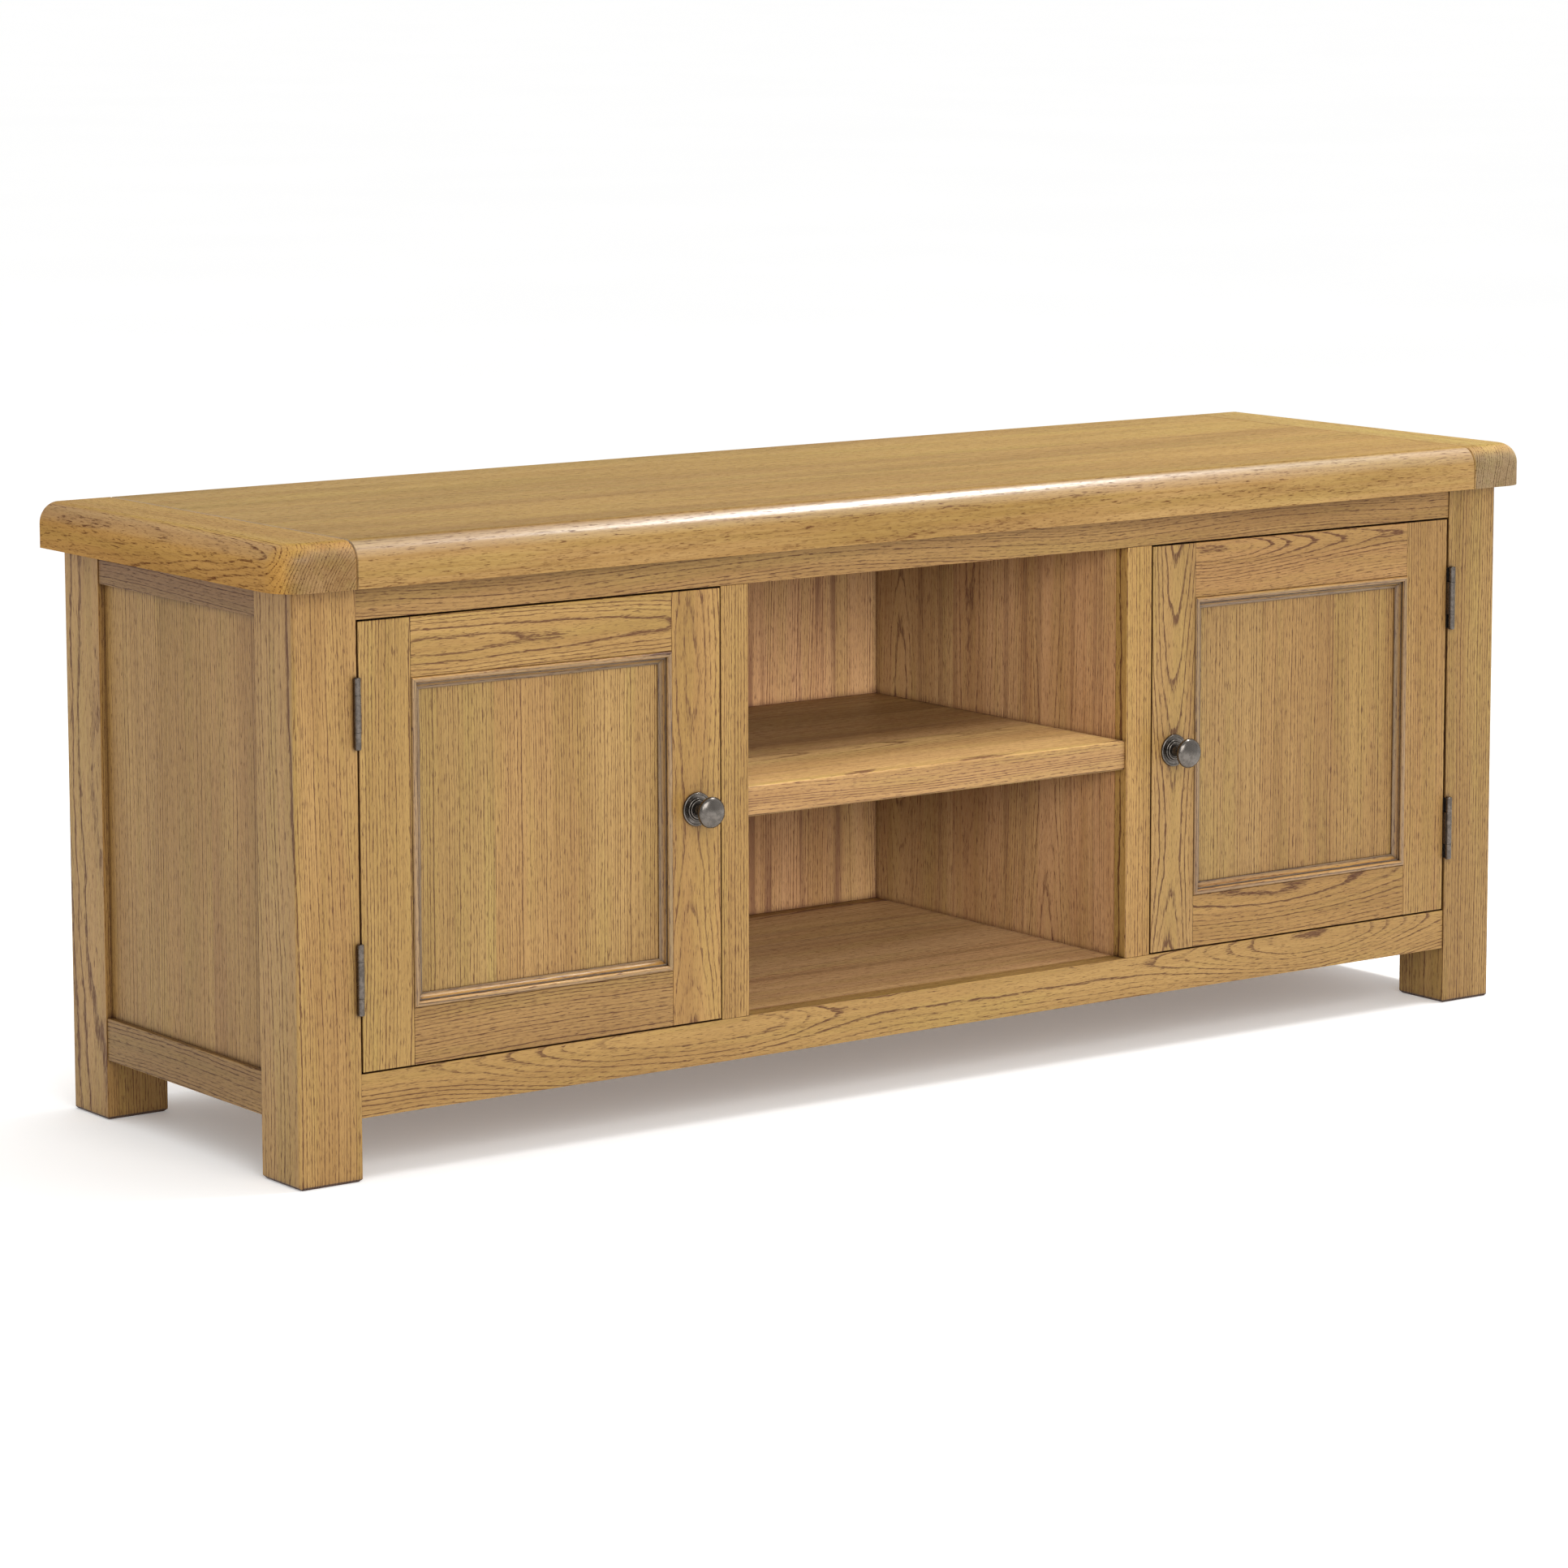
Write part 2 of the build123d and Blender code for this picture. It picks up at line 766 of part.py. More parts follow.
with BuildPart() as knob_plate:
    with BuildSketch(Plane(knob_plane.origin, x_dir=(1, 0, 0), z_dir=(0, 0, 1))):
        with BuildLine():
            edge = (plate_radius, -rim_fillet)
            Polyline((plate_bore, 0), (plate_radius - rim_fillet, 0), edge)
            rim_inner = plate_radius - rim_width
            rim_middle = plate_radius - rim_width / 2
            rim = ThreePointArc(edge, (rim_middle, -rim_rise), (rim_inner, -dish_rise))
            Line(rim @ 1, (ring_outer, -dish_rise))
            ring_middle = (ring_outer + ring_inner) / 2
            ring = ThreePointArc(
                (ring_outer, -dish_rise),
                (ring_middle, -ring_rise),
                (ring_inner, -rim_rise),
            )
            Line(ring @ 1, (collar_outer, -rim_rise))
            collar_middle = (collar_outer + collar_inner) / 2
            collar = ThreePointArc(
                (collar_outer, -rim_rise),
                (collar_middle, -collar_rise),
                (collar_inner, -plate_rise),
            )
            Polyline(collar @ 1, (plate_bore, -plate_rise), (plate_bore, 0))
        make_face()
    revolve(axis=Axis(knob_plane.origin, (0, 1, 0)))

with BuildPart() as knob:
    with BuildSketch(Plane(knob_plane.origin, x_dir=(1, 0, 0), z_dir=(0, 0, 1))):
        with BuildLine():
            base = (stem_radius, -plate_rise)
            waist = (waist_radius, -waist_reach)
            cup = (cup_radius, -cup_reach)
            shoulder = (knob_radius - knob_edge, -shoulder_reach)
            widest = (knob_radius, -shoulder_reach - knob_edge_height / 2)
            face_edge = (knob_radius - 2 * knob_edge, -shoulder_reach - knob_edge_height)
            Line((knob_screw_radius, -plate_rise), base)
            Spline(base, waist, cup, shoulder, tangents=[(-0.3, -1), (0.55, -1)])
            ThreePointArc(shoulder, widest, face_edge)
            dome = (knob_radius / 2, dome_drop - knob_reach)
            Spline(face_edge, dome, (0, -knob_reach), tangents=[(-1, -1.1), (-1, 0)])
            bore_end = plate_rise + knob_screw_bite
            Polyline((0, -knob_reach), (0, -bore_end), (knob_screw_radius, -bore_end))
            Line((knob_screw_radius, -bore_end), (knob_screw_radius, -plate_rise))
        make_face()
    revolve(axis=Axis(knob_plane.origin, (0, 1, 0)))

knob_screw_length = door_thickness + plate_rise + knob_screw_bite - overrun

with BuildPart() as knob_screw:
    turned(
        Plane((knob_x, door_back_y, knob_height), x_dir=(1, 0, 0), z_dir=(0, 1, 0)),
        [
            (0, knob_screw_head_rise),
            (0.6 * knob_screw_head_radius, 0.9 * knob_screw_head_rise),
            (knob_screw_head_radius, 0.3 * knob_screw_head_rise),
            (knob_screw_head_radius, 0),
            (knob_screw_radius - pin_clearance, 0),
            (knob_screw_radius - pin_clearance, -knob_screw_length),
            (0, -knob_screw_length),
        ],
    )
    with Locations((knob_x, door_back_y + knob_screw_head_rise, knob_height)):
        Box(knob_screw_head_radius, knob_screw_head_rise, screw_slot, mode=Mode.SUBTRACT)
        Box(screw_slot, knob_screw_head_rise, knob_screw_head_radius, mode=Mode.SUBTRACT)

# ---------------------------------------------------------------- hinges

knuckle_bore = pin_shaft_radius + pin_clearance
end_knuckle = (hinge_height - middle_knuckle) / 2 - knuckle_gap
clear_of_barrel = axis_y + barrel_radius + 2 * knuckle_gap


def tube(z_low, z_high, radius, bore):
    """Knuckle round the hinge's axis."""
    with Locations((axis_x, axis_y, z_low)):
        upward = (Align.CENTER, Align.CENTER, Align.MIN)
        Cylinder(radius, z_high - z_low, align=upward)
        if bore:
            Cylinder(bore, z_high - z_low, align=upward, mode=Mode.SUBTRACT)


def hinge(z):
    """Frame leaf, door leaf and pin of one butt hinge whose middle is at height z."""
    low_z = z - hinge_height / 2
    high_z = z + hinge_height / 2
    middle_low_z = z - middle_knuckle / 2
    middle_high_z = z + middle_knuckle / 2
    frame_x = (leg_inner_x - leaf_thickness, leg_inner_x)
    door_x = (door_left_x - leaf_thickness, door_left_x)
    back_y_leaf = front_y + leaf_width

    with BuildPart() as frame_leaf:
        block((frame_x[0], clear_of_barrel, low_z), (frame_x[1], back_y_leaf, high_z))
        for z_low, z_high in ((low_z, low_z + end_knuckle), (high_z - end_knuckle, high_z)):
            block((frame_x[0], axis_y, z_low), (frame_x[1], clear_of_barrel, z_high))
            tube(z_low, z_high, barrel_radius, knuckle_bore)
        leaf_screws(z, frame_x[1], 1, screw_hole)

    with BuildPart() as door_leaf:
        block((door_x[0], door_front_y, low_z), (door_x[1], back_y_leaf, high_z))
        block((door_x[0], axis_y, middle_low_z), (door_x[1], door_front_y, middle_high_z))
        tube(middle_low_z, middle_high_z, barrel_radius, knuckle_bore)
        leaf_screws(z, door_x[0], -1, screw_hole)

    with BuildPart() as pin:
        tube(low_z, high_z, pin_shaft_radius, 0)
        for cap_z, cap_low_z in ((low_z, low_z - cap_height), (high_z, high_z)):
            with Locations((axis_x, axis_y, cap_low_z)):
                Cylinder(
                    barrel_radius,
                    cap_height,
                    align=(Align.CENTER, Align.CENTER, Align.MIN),
                )
            rim = pin.edges().filter_by(GeomType.CIRCLE)
            outer_z = low_z - cap_height if cap_z == low_z else high_z + cap_height
            outer_rim = [edge for edge in rim if abs(edge.center().Z - outer_z) < knuckle_gap]
            fillet(outer_rim, 0.9 * cap_height)

    return frame_leaf, door_leaf, pin


hinges = {"lower": hinge(lower_hinge_height), "upper": hinge(upper_hinge_height)}

with BuildPart() as hinge_pins:
    for frame_leaf, door_leaf, pin in hinges.values():
        add(pin.part)
    mirror(about=Plane.YZ)

with BuildPart() as door_hinge_screws:
    for hinge_z in hinge_rows_z:
        leaf_screws(hinge_z, door_left_x - leaf_thickness, -1, screw)

# ---------------------------------------------------------------- catches

strike_low_z = door_low_z + strike_lift
catch_front_y = door_back_y + strike_thickness + pin_clearance
ear_length = catch_width / 4
catch_low = (catch_x - catch_width / 2, catch_front_y, floor_z)
catch_high = (catch_x + catch_width / 2, catch_front_y + catch_depth, floor_z + catch_height)
catch_screw_spots = [
    (catch_x + side * (catch_width - ear_length) / 2, catch_front_y + catch_depth / 2)
    for side in (-1, 1)
]


def catch_screws(act):
    """The two screws that hold a catch down, through its ears."""
    for x, y in catch_screw_spots:
        act(Plane((x, y, floor_z + screw_head_radius), z_dir=(0, 0, 1)))


with BuildPart() as magnetic_catches:
    block(catch_low, catch_high)
    for low_x in (catch_low[0], catch_high[0] - ear_length):
        cut(
            (low_x, catch_low[1], floor_z + screw_head_radius),
            (low_x + ear_length, catch_high[1], catch_high[2]),
        )
    catch_screws(screw_hole)
    mirror(about=Plane.YZ)

with BuildPart() as strike_plate:
    block(
        (catch_x - strike_width / 2, door_back_y, strike_low_z),
        (catch_x + strike_width / 2, door_back_y + strike_thickness, strike_low_z + strike_height),
    )
    fillet(strike_plate.edges().filter_by(Axis.Y), strike_corner)

with BuildPart() as floor_with_holes:
    add(floor_board.part)
    for side in (-1, 1):
        for x, y in catch_screw_spots:
            screw_hole(Plane((side * x, y, floor_z + screw_head_radius), z_dir=(0, 0, 1)))

with BuildPart() as frame_screws:
    for hinge_z in hinge_rows_z:
        leaf_screws(hinge_z, leg_inner_x, 1, screw)
    catch_screws(screw)
    mirror(about=Plane.YZ)

# ---------------------------------------------------------------- files

os.makedirs("parts", exist_ok=True)

save(top_panel, "top_panel")
save_pair(top_end, "top_end_left", "top_end_right")
save_pair(front_leg, "leg_front_left", "leg_front_right")
save_pair(back_leg, "leg_back_left", "leg_back_right")
save(front_top_rail, "front_top_rail")
save(front_bottom_rail, "front_bottom_rail")
save(back_top_rail, "back_top_rail")
save(back_bottom_rail, "back_bottom_rail")
save_pair(side_top_rail, "side_top_rail_left", "side_top_rail_right")
save_pair(side_bottom_rail, "side_bottom_rail_left", "side_bottom_rail_right")
save_pair(side_panel, "side_panel_left", "side_panel_right")
save_pair(divider_post, "divider_post_left", "divider_post_right")
save_pair(partition, "partition_left", "partition_right")
save(floor_with_holes, "floor_board")
save(back_panel, "back_panel")
save(centre_shelf, "centre_shelf")
save_pair(cupboard_shelf, "cupboard_shelf_left", "cupboard_shelf_right")
save(shelf_pins, "shelf_pins")

door_pieces = {
    "hinge_stile": hinge_stile,
    "lock_stile": lock_stile,
    "top_rail": door_top_rail,
    "bottom_rail": door_bottom_rail,
    "panel": door_panel,
    "beading": beading,
    "knob": knob,
    "knob_plate": knob_plate,
    "knob_screw": knob_screw,
    "strike_plate": strike_plate,
    "hinge_screws": door_hinge_screws,
}
for piece_name, piece in door_pieces.items():
    save_pair(piece, f"left_door_{piece_name}", f"right_door_{piece_name}")

for row, (frame_leaf, door_leaf, pin) in hinges.items():
    save_pair(frame_leaf, f"{row}_frame_leaf_left", f"{row}_frame_leaf_right")
    save_pair(door_leaf, f"{row}_door_leaf_left", f"{row}_door_leaf_right")
save(hinge_pins, "hinge_pins")
save(frame_screws, "frame_screws")
save(magnetic_catches, "magnetic_catches")
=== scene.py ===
import math
import random

import bpy
from bpy.props import FloatProperty, FloatVectorProperty, PointerProperty
from bpy.types import Operator, Panel, PropertyGroup
from mathutils import Matrix, Vector


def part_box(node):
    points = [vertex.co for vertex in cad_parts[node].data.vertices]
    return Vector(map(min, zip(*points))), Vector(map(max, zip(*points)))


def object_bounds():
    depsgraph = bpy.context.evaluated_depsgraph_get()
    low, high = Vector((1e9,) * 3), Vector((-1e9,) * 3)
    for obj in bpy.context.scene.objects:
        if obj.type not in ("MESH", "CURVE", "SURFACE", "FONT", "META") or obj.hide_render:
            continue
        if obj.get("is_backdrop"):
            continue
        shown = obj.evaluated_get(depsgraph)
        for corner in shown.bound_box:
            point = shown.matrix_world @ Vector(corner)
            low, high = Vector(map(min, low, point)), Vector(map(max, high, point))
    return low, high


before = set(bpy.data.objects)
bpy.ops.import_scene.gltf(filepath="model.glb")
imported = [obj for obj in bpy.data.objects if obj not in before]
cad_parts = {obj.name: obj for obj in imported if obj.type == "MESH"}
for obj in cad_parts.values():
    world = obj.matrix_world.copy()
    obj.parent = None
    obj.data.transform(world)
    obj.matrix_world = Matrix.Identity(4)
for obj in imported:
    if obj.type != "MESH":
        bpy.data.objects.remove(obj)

bl_info = {
    "name": "Oak Media Cabinet",
    "version": (1, 0, 0),
    "blender": (4, 5, 0),
    "location": "View3D > Sidebar > Cabinet",
    "description": "Finishes an oak media cabinet and sets it on a studio floor",
    "category": "Object",
}

SIDES = ("left", "right")
ROWS = ("lower", "upper")


# ---------------------------------------------------------------- settings


class OakSettings(PropertyGroup):
    """Colours and grain of the lacquered oak."""

    honey: FloatVectorProperty(
        name="Honey",
        description="Lightest wood, between the growth rings",
        subtype="COLOR",
        default=(0.395, 0.236, 0.070),
    )
    tan: FloatVectorProperty(
        name="Tan",
        description="Middle tone of the wood",
        subtype="COLOR",
        default=(0.265, 0.142, 0.036),
    )
    brown: FloatVectorProperty(
        name="Brown",
        description="Open-pored early wood of each growth ring",
        subtype="COLOR",
        default=(0.135, 0.062, 0.018),
    )
    pore: FloatVectorProperty(
        name="Pore",
        description="Stain that has settled in the pores",
        subtype="COLOR",
        default=(0.100, 0.038, 0.011),
    )
    ring: FloatProperty(
        name="Ring spacing",
        description="Usual distance between growth rings",
        unit="LENGTH",
        default=0.0030,
        min=0.001,
        max=0.02,
    )
    lacquer: FloatProperty(
        name="Lacquer roughness",
        description="Roughness of the satin lacquer between the pores",
        subtype="FACTOR",
        default=0.46,
        min=0.05,
        max=1.0,
    )


class MetalSettings(PropertyGroup):
    """Colours of the knobs, hinges and small fittings."""

    pewter: FloatVectorProperty(
        name="Pewter",
        description="Rubbed pewter of the knobs",
        subtype="COLOR",
        default=(0.155, 0.138, 0.122),
    )
    bronze: FloatVectorProperty(
        name="Bronze",
        description="Brown-grey antique finish of the hinges",
        subtype="COLOR",
        default=(0.15, 0.128, 0.110),
    )
    steel: FloatVectorProperty(
        name="Steel",
        description="Plated steel of the strike plates and shelf pins",
        subtype="COLOR",
        default=(0.62, 0.61, 0.59),
    )
    plastic: FloatVectorProperty(
        name="Catch plastic",
        description="Brown plastic of the magnetic catches",
        subtype="COLOR",
        default=(0.060, 0.032, 0.019),
    )


class StageSettings(PropertyGroup):
    """Camera, floor and lights."""

    camera_place: FloatVectorProperty(
        name="Camera place",
        description="Where the camera stands",
        subtype="TRANSLATION",
        unit="LENGTH",
        default=(-3.1206, -4.2191, 1.1441),
    )
    heading: FloatProperty(
        name="Heading",
        description="Turn of the camera from straight back towards the right",
        subtype="ANGLE",
        default=math.radians(36.069),
    )
    tilt: FloatProperty(
        name="Tilt",
        description="How far the camera looks down",
        subtype="ANGLE",
        default=math.radians(7.750),
    )
    roll: FloatProperty(
        name="Roll",
        description="Turn of the camera about its own line of sight",
        subtype="ANGLE",
        default=math.radians(0.12),
    )
    lens: FloatProperty(
        name="Lens",
        description="Focal length on a 36 mm sensor, in millimetres",
        default=122.5,
        min=20.0,
        max=400.0,
    )
    rise: FloatProperty(
        name="Lens rise",
        description="Vertical shift of the lens",
        default=-0.1002,
        min=-1.0,
        max=1.0,
    )
    floor_tone: FloatVectorProperty(
        name="Floor",
        description="Pale studio floor",
        subtype="COLOR",
        default=(0.97, 0.97, 0.967),
    )
    sky_power: FloatProperty(
        name="Light behind",
        description="Strength of the even light from beyond the cabinet",
        default=1.05,
        min=0.0,
        max=10.0,
    )
    near_sky_power: FloatProperty(
        name="Light on the near side",
        description="Strength of the even light from the camera's side",
        default=0.62,
        min=0.0,
        max=10.0,
    )
    key_power: FloatProperty(
        name="Key light",
        description="Power of the large soft light in front, in watts",
        default=72.0,
        min=0.0,
        max=5000.0,
    )
    top_power: FloatProperty(
        name="Top light",
        description="Power of the soft light overhead, in watts",
        default=52.0,
        min=0.0,
        max=5000.0,
    )
    bay_power: FloatProperty(
        name="Bay light",
        description="Power of the soft light that reaches into the open bay, in watts",
        default=145.0,
        min=0.0,
        max=5000.0,
    )
    shelf_power: FloatProperty(
        name="Shelf light",
        description="Power of the soft light that falls on the centre shelf, in watts",
        default=110.0,
        min=0.0,
        max=5000.0,
    )


class CabinetSettings(PropertyGroup):
    """Everything that can be changed about the cabinet's finish and its stage."""

    oak: PointerProperty(type=OakSettings, name="Oak", description="The wood's finish")
    metal: PointerProperty(type=MetalSettings, name="Metal", description="The fittings' finish")
    stage: PointerProperty(type=StageSettings, name="Stage", description="Camera, floor and lights")


# ---------------------------------------------------------------- shader graph helper


class Graph:
    """Short ways to add and join shader nodes in one tree."""

    def __init__(self, tree):
        self.tree = tree

    def add(self, kind, **settings):
        node = self.tree.nodes.new(kind)
        for name, value in settings.items():
            setattr(node, name, value)
        return node

    def put(self, value, socket):
        """Join a socket to another, or set it to a plain value."""
        if isinstance(value, bpy.types.NodeSocket):
            self.tree.links.new(value, socket)
        else:
            socket.default_value = value

    def math(self, operation, *values, clamp=False):
        node = self.add("ShaderNodeMath", operation=operation, use_clamp=clamp)
        for socket, value in zip(node.inputs, values):
            self.put(value, socket)
        return node.outputs[0]

    def join(self, x, y, z):
        node = self.add("ShaderNodeCombineXYZ")
        for socket, value in zip(node.inputs, (x, y, z)):
            self.put(value, socket)
        return node.outputs[0]

    def split(self, vector):
        node = self.add("ShaderNodeSeparateXYZ")
        self.put(vector, node.inputs[0])
        return node.outputs

    def stretch(self, vector, scales, offset=(0, 0, 0)):
        """The vector times a scale along each axis, moved by an offset."""
        node = self.add("ShaderNodeVectorMath", operation="MULTIPLY_ADD")
        self.put(vector, node.inputs[0])
        self.put(scales, node.inputs[1])
        self.put(offset, node.inputs[2])
        return node.outputs[0]

    def noise(self, vector, scale=1.0, detail=2.0, roughness=0.5, distortion=0.0):
        node = self.add("ShaderNodeTexNoise")
        self.put(vector, node.inputs["Vector"])
        self.put(scale, node.inputs["Scale"])
        self.put(detail, node.inputs["Detail"])
        self.put(roughness, node.inputs["Roughness"])
        self.put(distortion, node.inputs["Distortion"])
        return node.outputs["Fac"]

    def line_noise(self, value, detail=1.0):
        """Smooth noise along one value."""
        node = self.add("ShaderNodeTexNoise", noise_dimensions="1D")
        self.put(value, node.inputs["W"])
        self.put(1.0, node.inputs["Scale"])
        self.put(detail, node.inputs["Detail"])
        return node.outputs["Fac"]

    def chance(self, value):
        """Three random numbers for each value."""
        node = self.add("ShaderNodeTexWhiteNoise", noise_dimensions="1D")
        self.put(value, node.inputs["W"])
        return self.split(node.outputs["Color"])

    def smooth(self, value, low, high, first=0.0, last=1.0):
        """Smooth step from first to last as the value goes from low to high."""
        node = self.add("ShaderNodeMapRange", interpolation_type="SMOOTHSTEP")
        for socket, number in zip(node.inputs, (value, low, high, first, last)):
            self.put(number, socket)
        return node.outputs[0]

    def mix(self, share, first, second, blend="MIX"):
        node = self.add("ShaderNodeMix", data_type="RGBA", blend_type=blend)
        colours = [socket for socket in node.inputs if socket.type == "RGBA"]
        self.put(share, node.inputs[0])
        self.put(first, colours[0])
        self.put(second, colours[1])
        return [socket for socket in node.outputs if socket.type == "RGBA"][0]

    def tone(self, share, colour, tone):
        """The colour, multiplied by a tone where share is 1."""
        return self.mix(share, colour, opaque(tone), "MULTIPLY")

    def choose(self, share, first, second):
        """First vector where share is 0, second where it is 1."""
        node = self.add("ShaderNodeMix", data_type="VECTOR")
        vectors = [socket for socket in node.inputs if socket.type == "VECTOR"]
        self.put(share, node.inputs[0])
        self.put(first, vectors[-2])
        self.put(second, vectors[-1])
        return [socket for socket in node.outputs if socket.type == "VECTOR"][0]

    def crevice(self, reach, samples=4, inside=False):
        """1 on open surfaces, less in corners and grooves up to reach wide.

        With inside, it is less near outer edges instead.
        """
        node = self.add("ShaderNodeAmbientOcclusion", samples=samples, inside=inside)
        self.put(reach, node.inputs["Distance"])
        return node.outputs["AO"]

    def bump(self, height, strength, distance):
        node = self.add("ShaderNodeBump")
        self.put(strength, node.inputs["Strength"])
        self.put(distance, node.inputs["Distance"])
        self.put(height, node.inputs["Height"])
        return node.outputs["Normal"]


def opaque(colour):
    """Colour with a full fourth channel."""
    return (*colour, 1.0)


def new_material(name):
    """Empty node material with its shader: the material, its graph and the shader."""
    material = bpy.data.materials.new(name)
    material.use_nodes = True
    graph = Graph(material.node_tree)
    shader = material.node_tree.nodes["Principled BSDF"]
    return material, graph, shader


def paint(node_name, material):
    """Give a CAD node one material."""
    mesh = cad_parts[node_name].data
    mesh.materials.clear()
    mesh.materials.append(material)


# ---------------------------------------------------------------- oak


X, Y, Z = 0, 1, 2

# Show faces: the axis out of the face, and the side of that axis that the face is on
FRONT, BACK = (Y, -1), (Y, 1)
LEFT, RIGHT = (X, -1), (X, 1)
UP = (Z, 1)
OUTWARD = {"left": LEFT, "right": RIGHT}
INWARD = {"left": RIGHT, "right": LEFT}

# A face looks along an axis where this much of its normal lies on that axis
FACING = 0.7

# Planks in the glued-up boards. A single plank is wider than any board, in metres
TOP_PLANKS = 4
WALL_PLANKS = 3
BACK_LEAVES = 12
ONE_PLANK = 10.0

# Scale of each noise along the grain, across it and into the wood, for one metre
SWAY = (1.5, 2.5, 2.5)
RIPPLES = (18.0, 60.0, 60.0)
COARSE_PORES = (75.0, 700.0, 700.0)
FINE_PORES = (130.0, 1250.0, 1250.0)
LINE_BREAKS = (11.0, 260.0, 260.0)
CLOUDS = (1.4, 16.0, 16.0)
FIBRES = (6.0, 240.0, 240.0)
PATCHES = (4.0, 55.0, 55.0)
BOLD_STREAKS = (1.1, 62.0, 62.0)

# Lengths in the log, in metres
LOG_LENGTH = 40.0
PITH_SWAY = 0.10
PITH_SPREAD = 0.09
RIFT_STEP = 0.22
PITH_DEPTH = 0.035
PITH_DEPTH_SPREAD = 0.04
RIPPLE_DEPTH = 0.0030
LIPPING_CUT = 3.0

# Steps between the random numbers of neighbouring planks, and the span of board seeds
LUCK_STEPS = (7.31, 3.77)
SEED_SPAN = 60
luck = random.Random(11)

# Tones that multiply the colour of the wood; several of them paint light and shade into it
OLIVE = (0.92, 1.02, 0.80)
END_GRAIN = (0.56, 0.66, 1.25)
END_RINGS = (0.36, 0.32, 0.34)
# Rubbed wear with a painted highlight on the crown of the beading
RUBBED_AND_HIGHLIGHTED_CROWN = (1.70, 1.70, 1.62)
# Painted light on the moulding's upward-facing steps, as if lit from above
PAINTED_LIGHT_ON_UPWARD_STEPS = (1.65, 1.58, 1.35)
# Glaze with painted shade in the moulding's grooves
MOULDING_GLAZE_AND_SHADE = (0.15, 0.09, 0.06)
# Stain with painted shade in corners and between parts
CORNER_STAIN_AND_SHADE = (0.24, 0.15, 0.10)
# Painted shade on the lipped front edge of the shelves
LIPPING_SHADE = (0.74, 0.72, 0.64)
# Wear with a painted highlight along outer edges
WORN_AND_HIGHLIGHTED_EDGES = (1.35, 1.30, 1.22)

# How far the glaze and painted shade, the stain and painted shade, and the wear and painted
# highlight spread from a corner, in metres
GLAZE_AND_SHADE_REACH = 0.0060
STAIN_AND_SHADE_REACH = 0.009
WEAR_AND_HIGHLIGHT_REACH = 0.0025

# Lacquer
GLOSS = 0.30
MOULDED_COAT = 0.60
COAT_ROUGHNESS = 0.26

# Tints of whole groups of boards; the darker right-hand ones are painted shade
INSIDE_TINT = (1.02, 1.01, 1.55)
SHELF_TINT = (1.08, 1.15, 1.60)
# The right-hand pieces are darker: painted shade, as if the light fell from the left
SIDE_TINT_AND_SHADE = {"left": (1.0, 0.98, 1.02), "right": (0.93, 0.91, 0.96)}
DOOR_PANEL_TINT_AND_SHADE = {"left": (0.97, 1.0, 1.05), "right": (0.87, 0.86, 0.90)}
TOP_END_TINT = {"left": (1.12, 0.99, 0.92), "right": (1.12, 1.18, 1.28)}

# Flame of the grain, tint of the front rail and tint of the side rails, by level. The tints are
# painted shade: under the top's overhang on the top rails, and low down near the floor on the
# bottom rails
RAIL_LOOKS = {
    "top": (0.6, (0.88, 0.84, 0.86), (0.65, 0.55, 0.53)),
    "bottom": (1.5, (0.97, 0.96, 0.96), (0.72, 0.67, 0.58)),
}


def board_coordinates(graph, grain, face_axis, centre):
    """Coordinates in the board's own frame: along the grain, across the face, out of the face."""
    place = graph.split(graph.add("ShaderNodeTexCoord").outputs["Object"])
    across = ({X, Y, Z} - {grain, face_axis}).pop()
    parts = [
        graph.math("SUBTRACT", place[axis], centre[axis]) for axis in (grain, across, face_axis)
    ]
    return graph.join(*parts)


def lipped_coordinates(graph, centre, front):
    """Coordinates of a shelf along X, turned over on the solid lipping of its front edge."""
    x, y, z = graph.split(graph.add("ShaderNodeTexCoord").outputs["Object"])
    along = graph.math("SUBTRACT", x, centre.x)
    height = graph.math("SUBTRACT", z, centre.z)
    shelf = graph.join(along, graph.math("SUBTRACT", y, centre.y), height)
    lipping = graph.join(
        graph.math("ADD", along, LIPPING_CUT), height, graph.math("SUBTRACT", y, front)
    )
    facing = graph.split(graph.add("ShaderNodeTexCoord").outputs["Normal"])[Y]
    return graph.choose(graph.math("LESS_THAN", facing, -FACING), shelf, lipping)


def cut_planks(graph, inputs):
    """Planks side by side, each cut from another place in the log.

    Gives the place in the wood, the step aside from the plank's middle, the depth, and
    two sets of three random numbers for each plank.
    """
    along, across, depth = graph.split(inputs["Board"])
    number = graph.math("ROUND", graph.math("DIVIDE", across, inputs["Plank"]))
    plank_middle = graph.math("MULTIPLY", number, inputs["Plank"])
    aside = graph.math("SUBTRACT", across, plank_middle)
    plank_luck, more_luck = (
        graph.chance(graph.math("MULTIPLY_ADD", number, step, inputs["Seed"]))
        for step in LUCK_STEPS
    )
    start = graph.math("MULTIPLY_ADD", plank_luck[2], LOG_LENGTH, along)
    wood = graph.join(start, graph.math("ADD", aside, plank_luck[0]), depth)
    return wood, aside, depth, plank_luck, more_luck


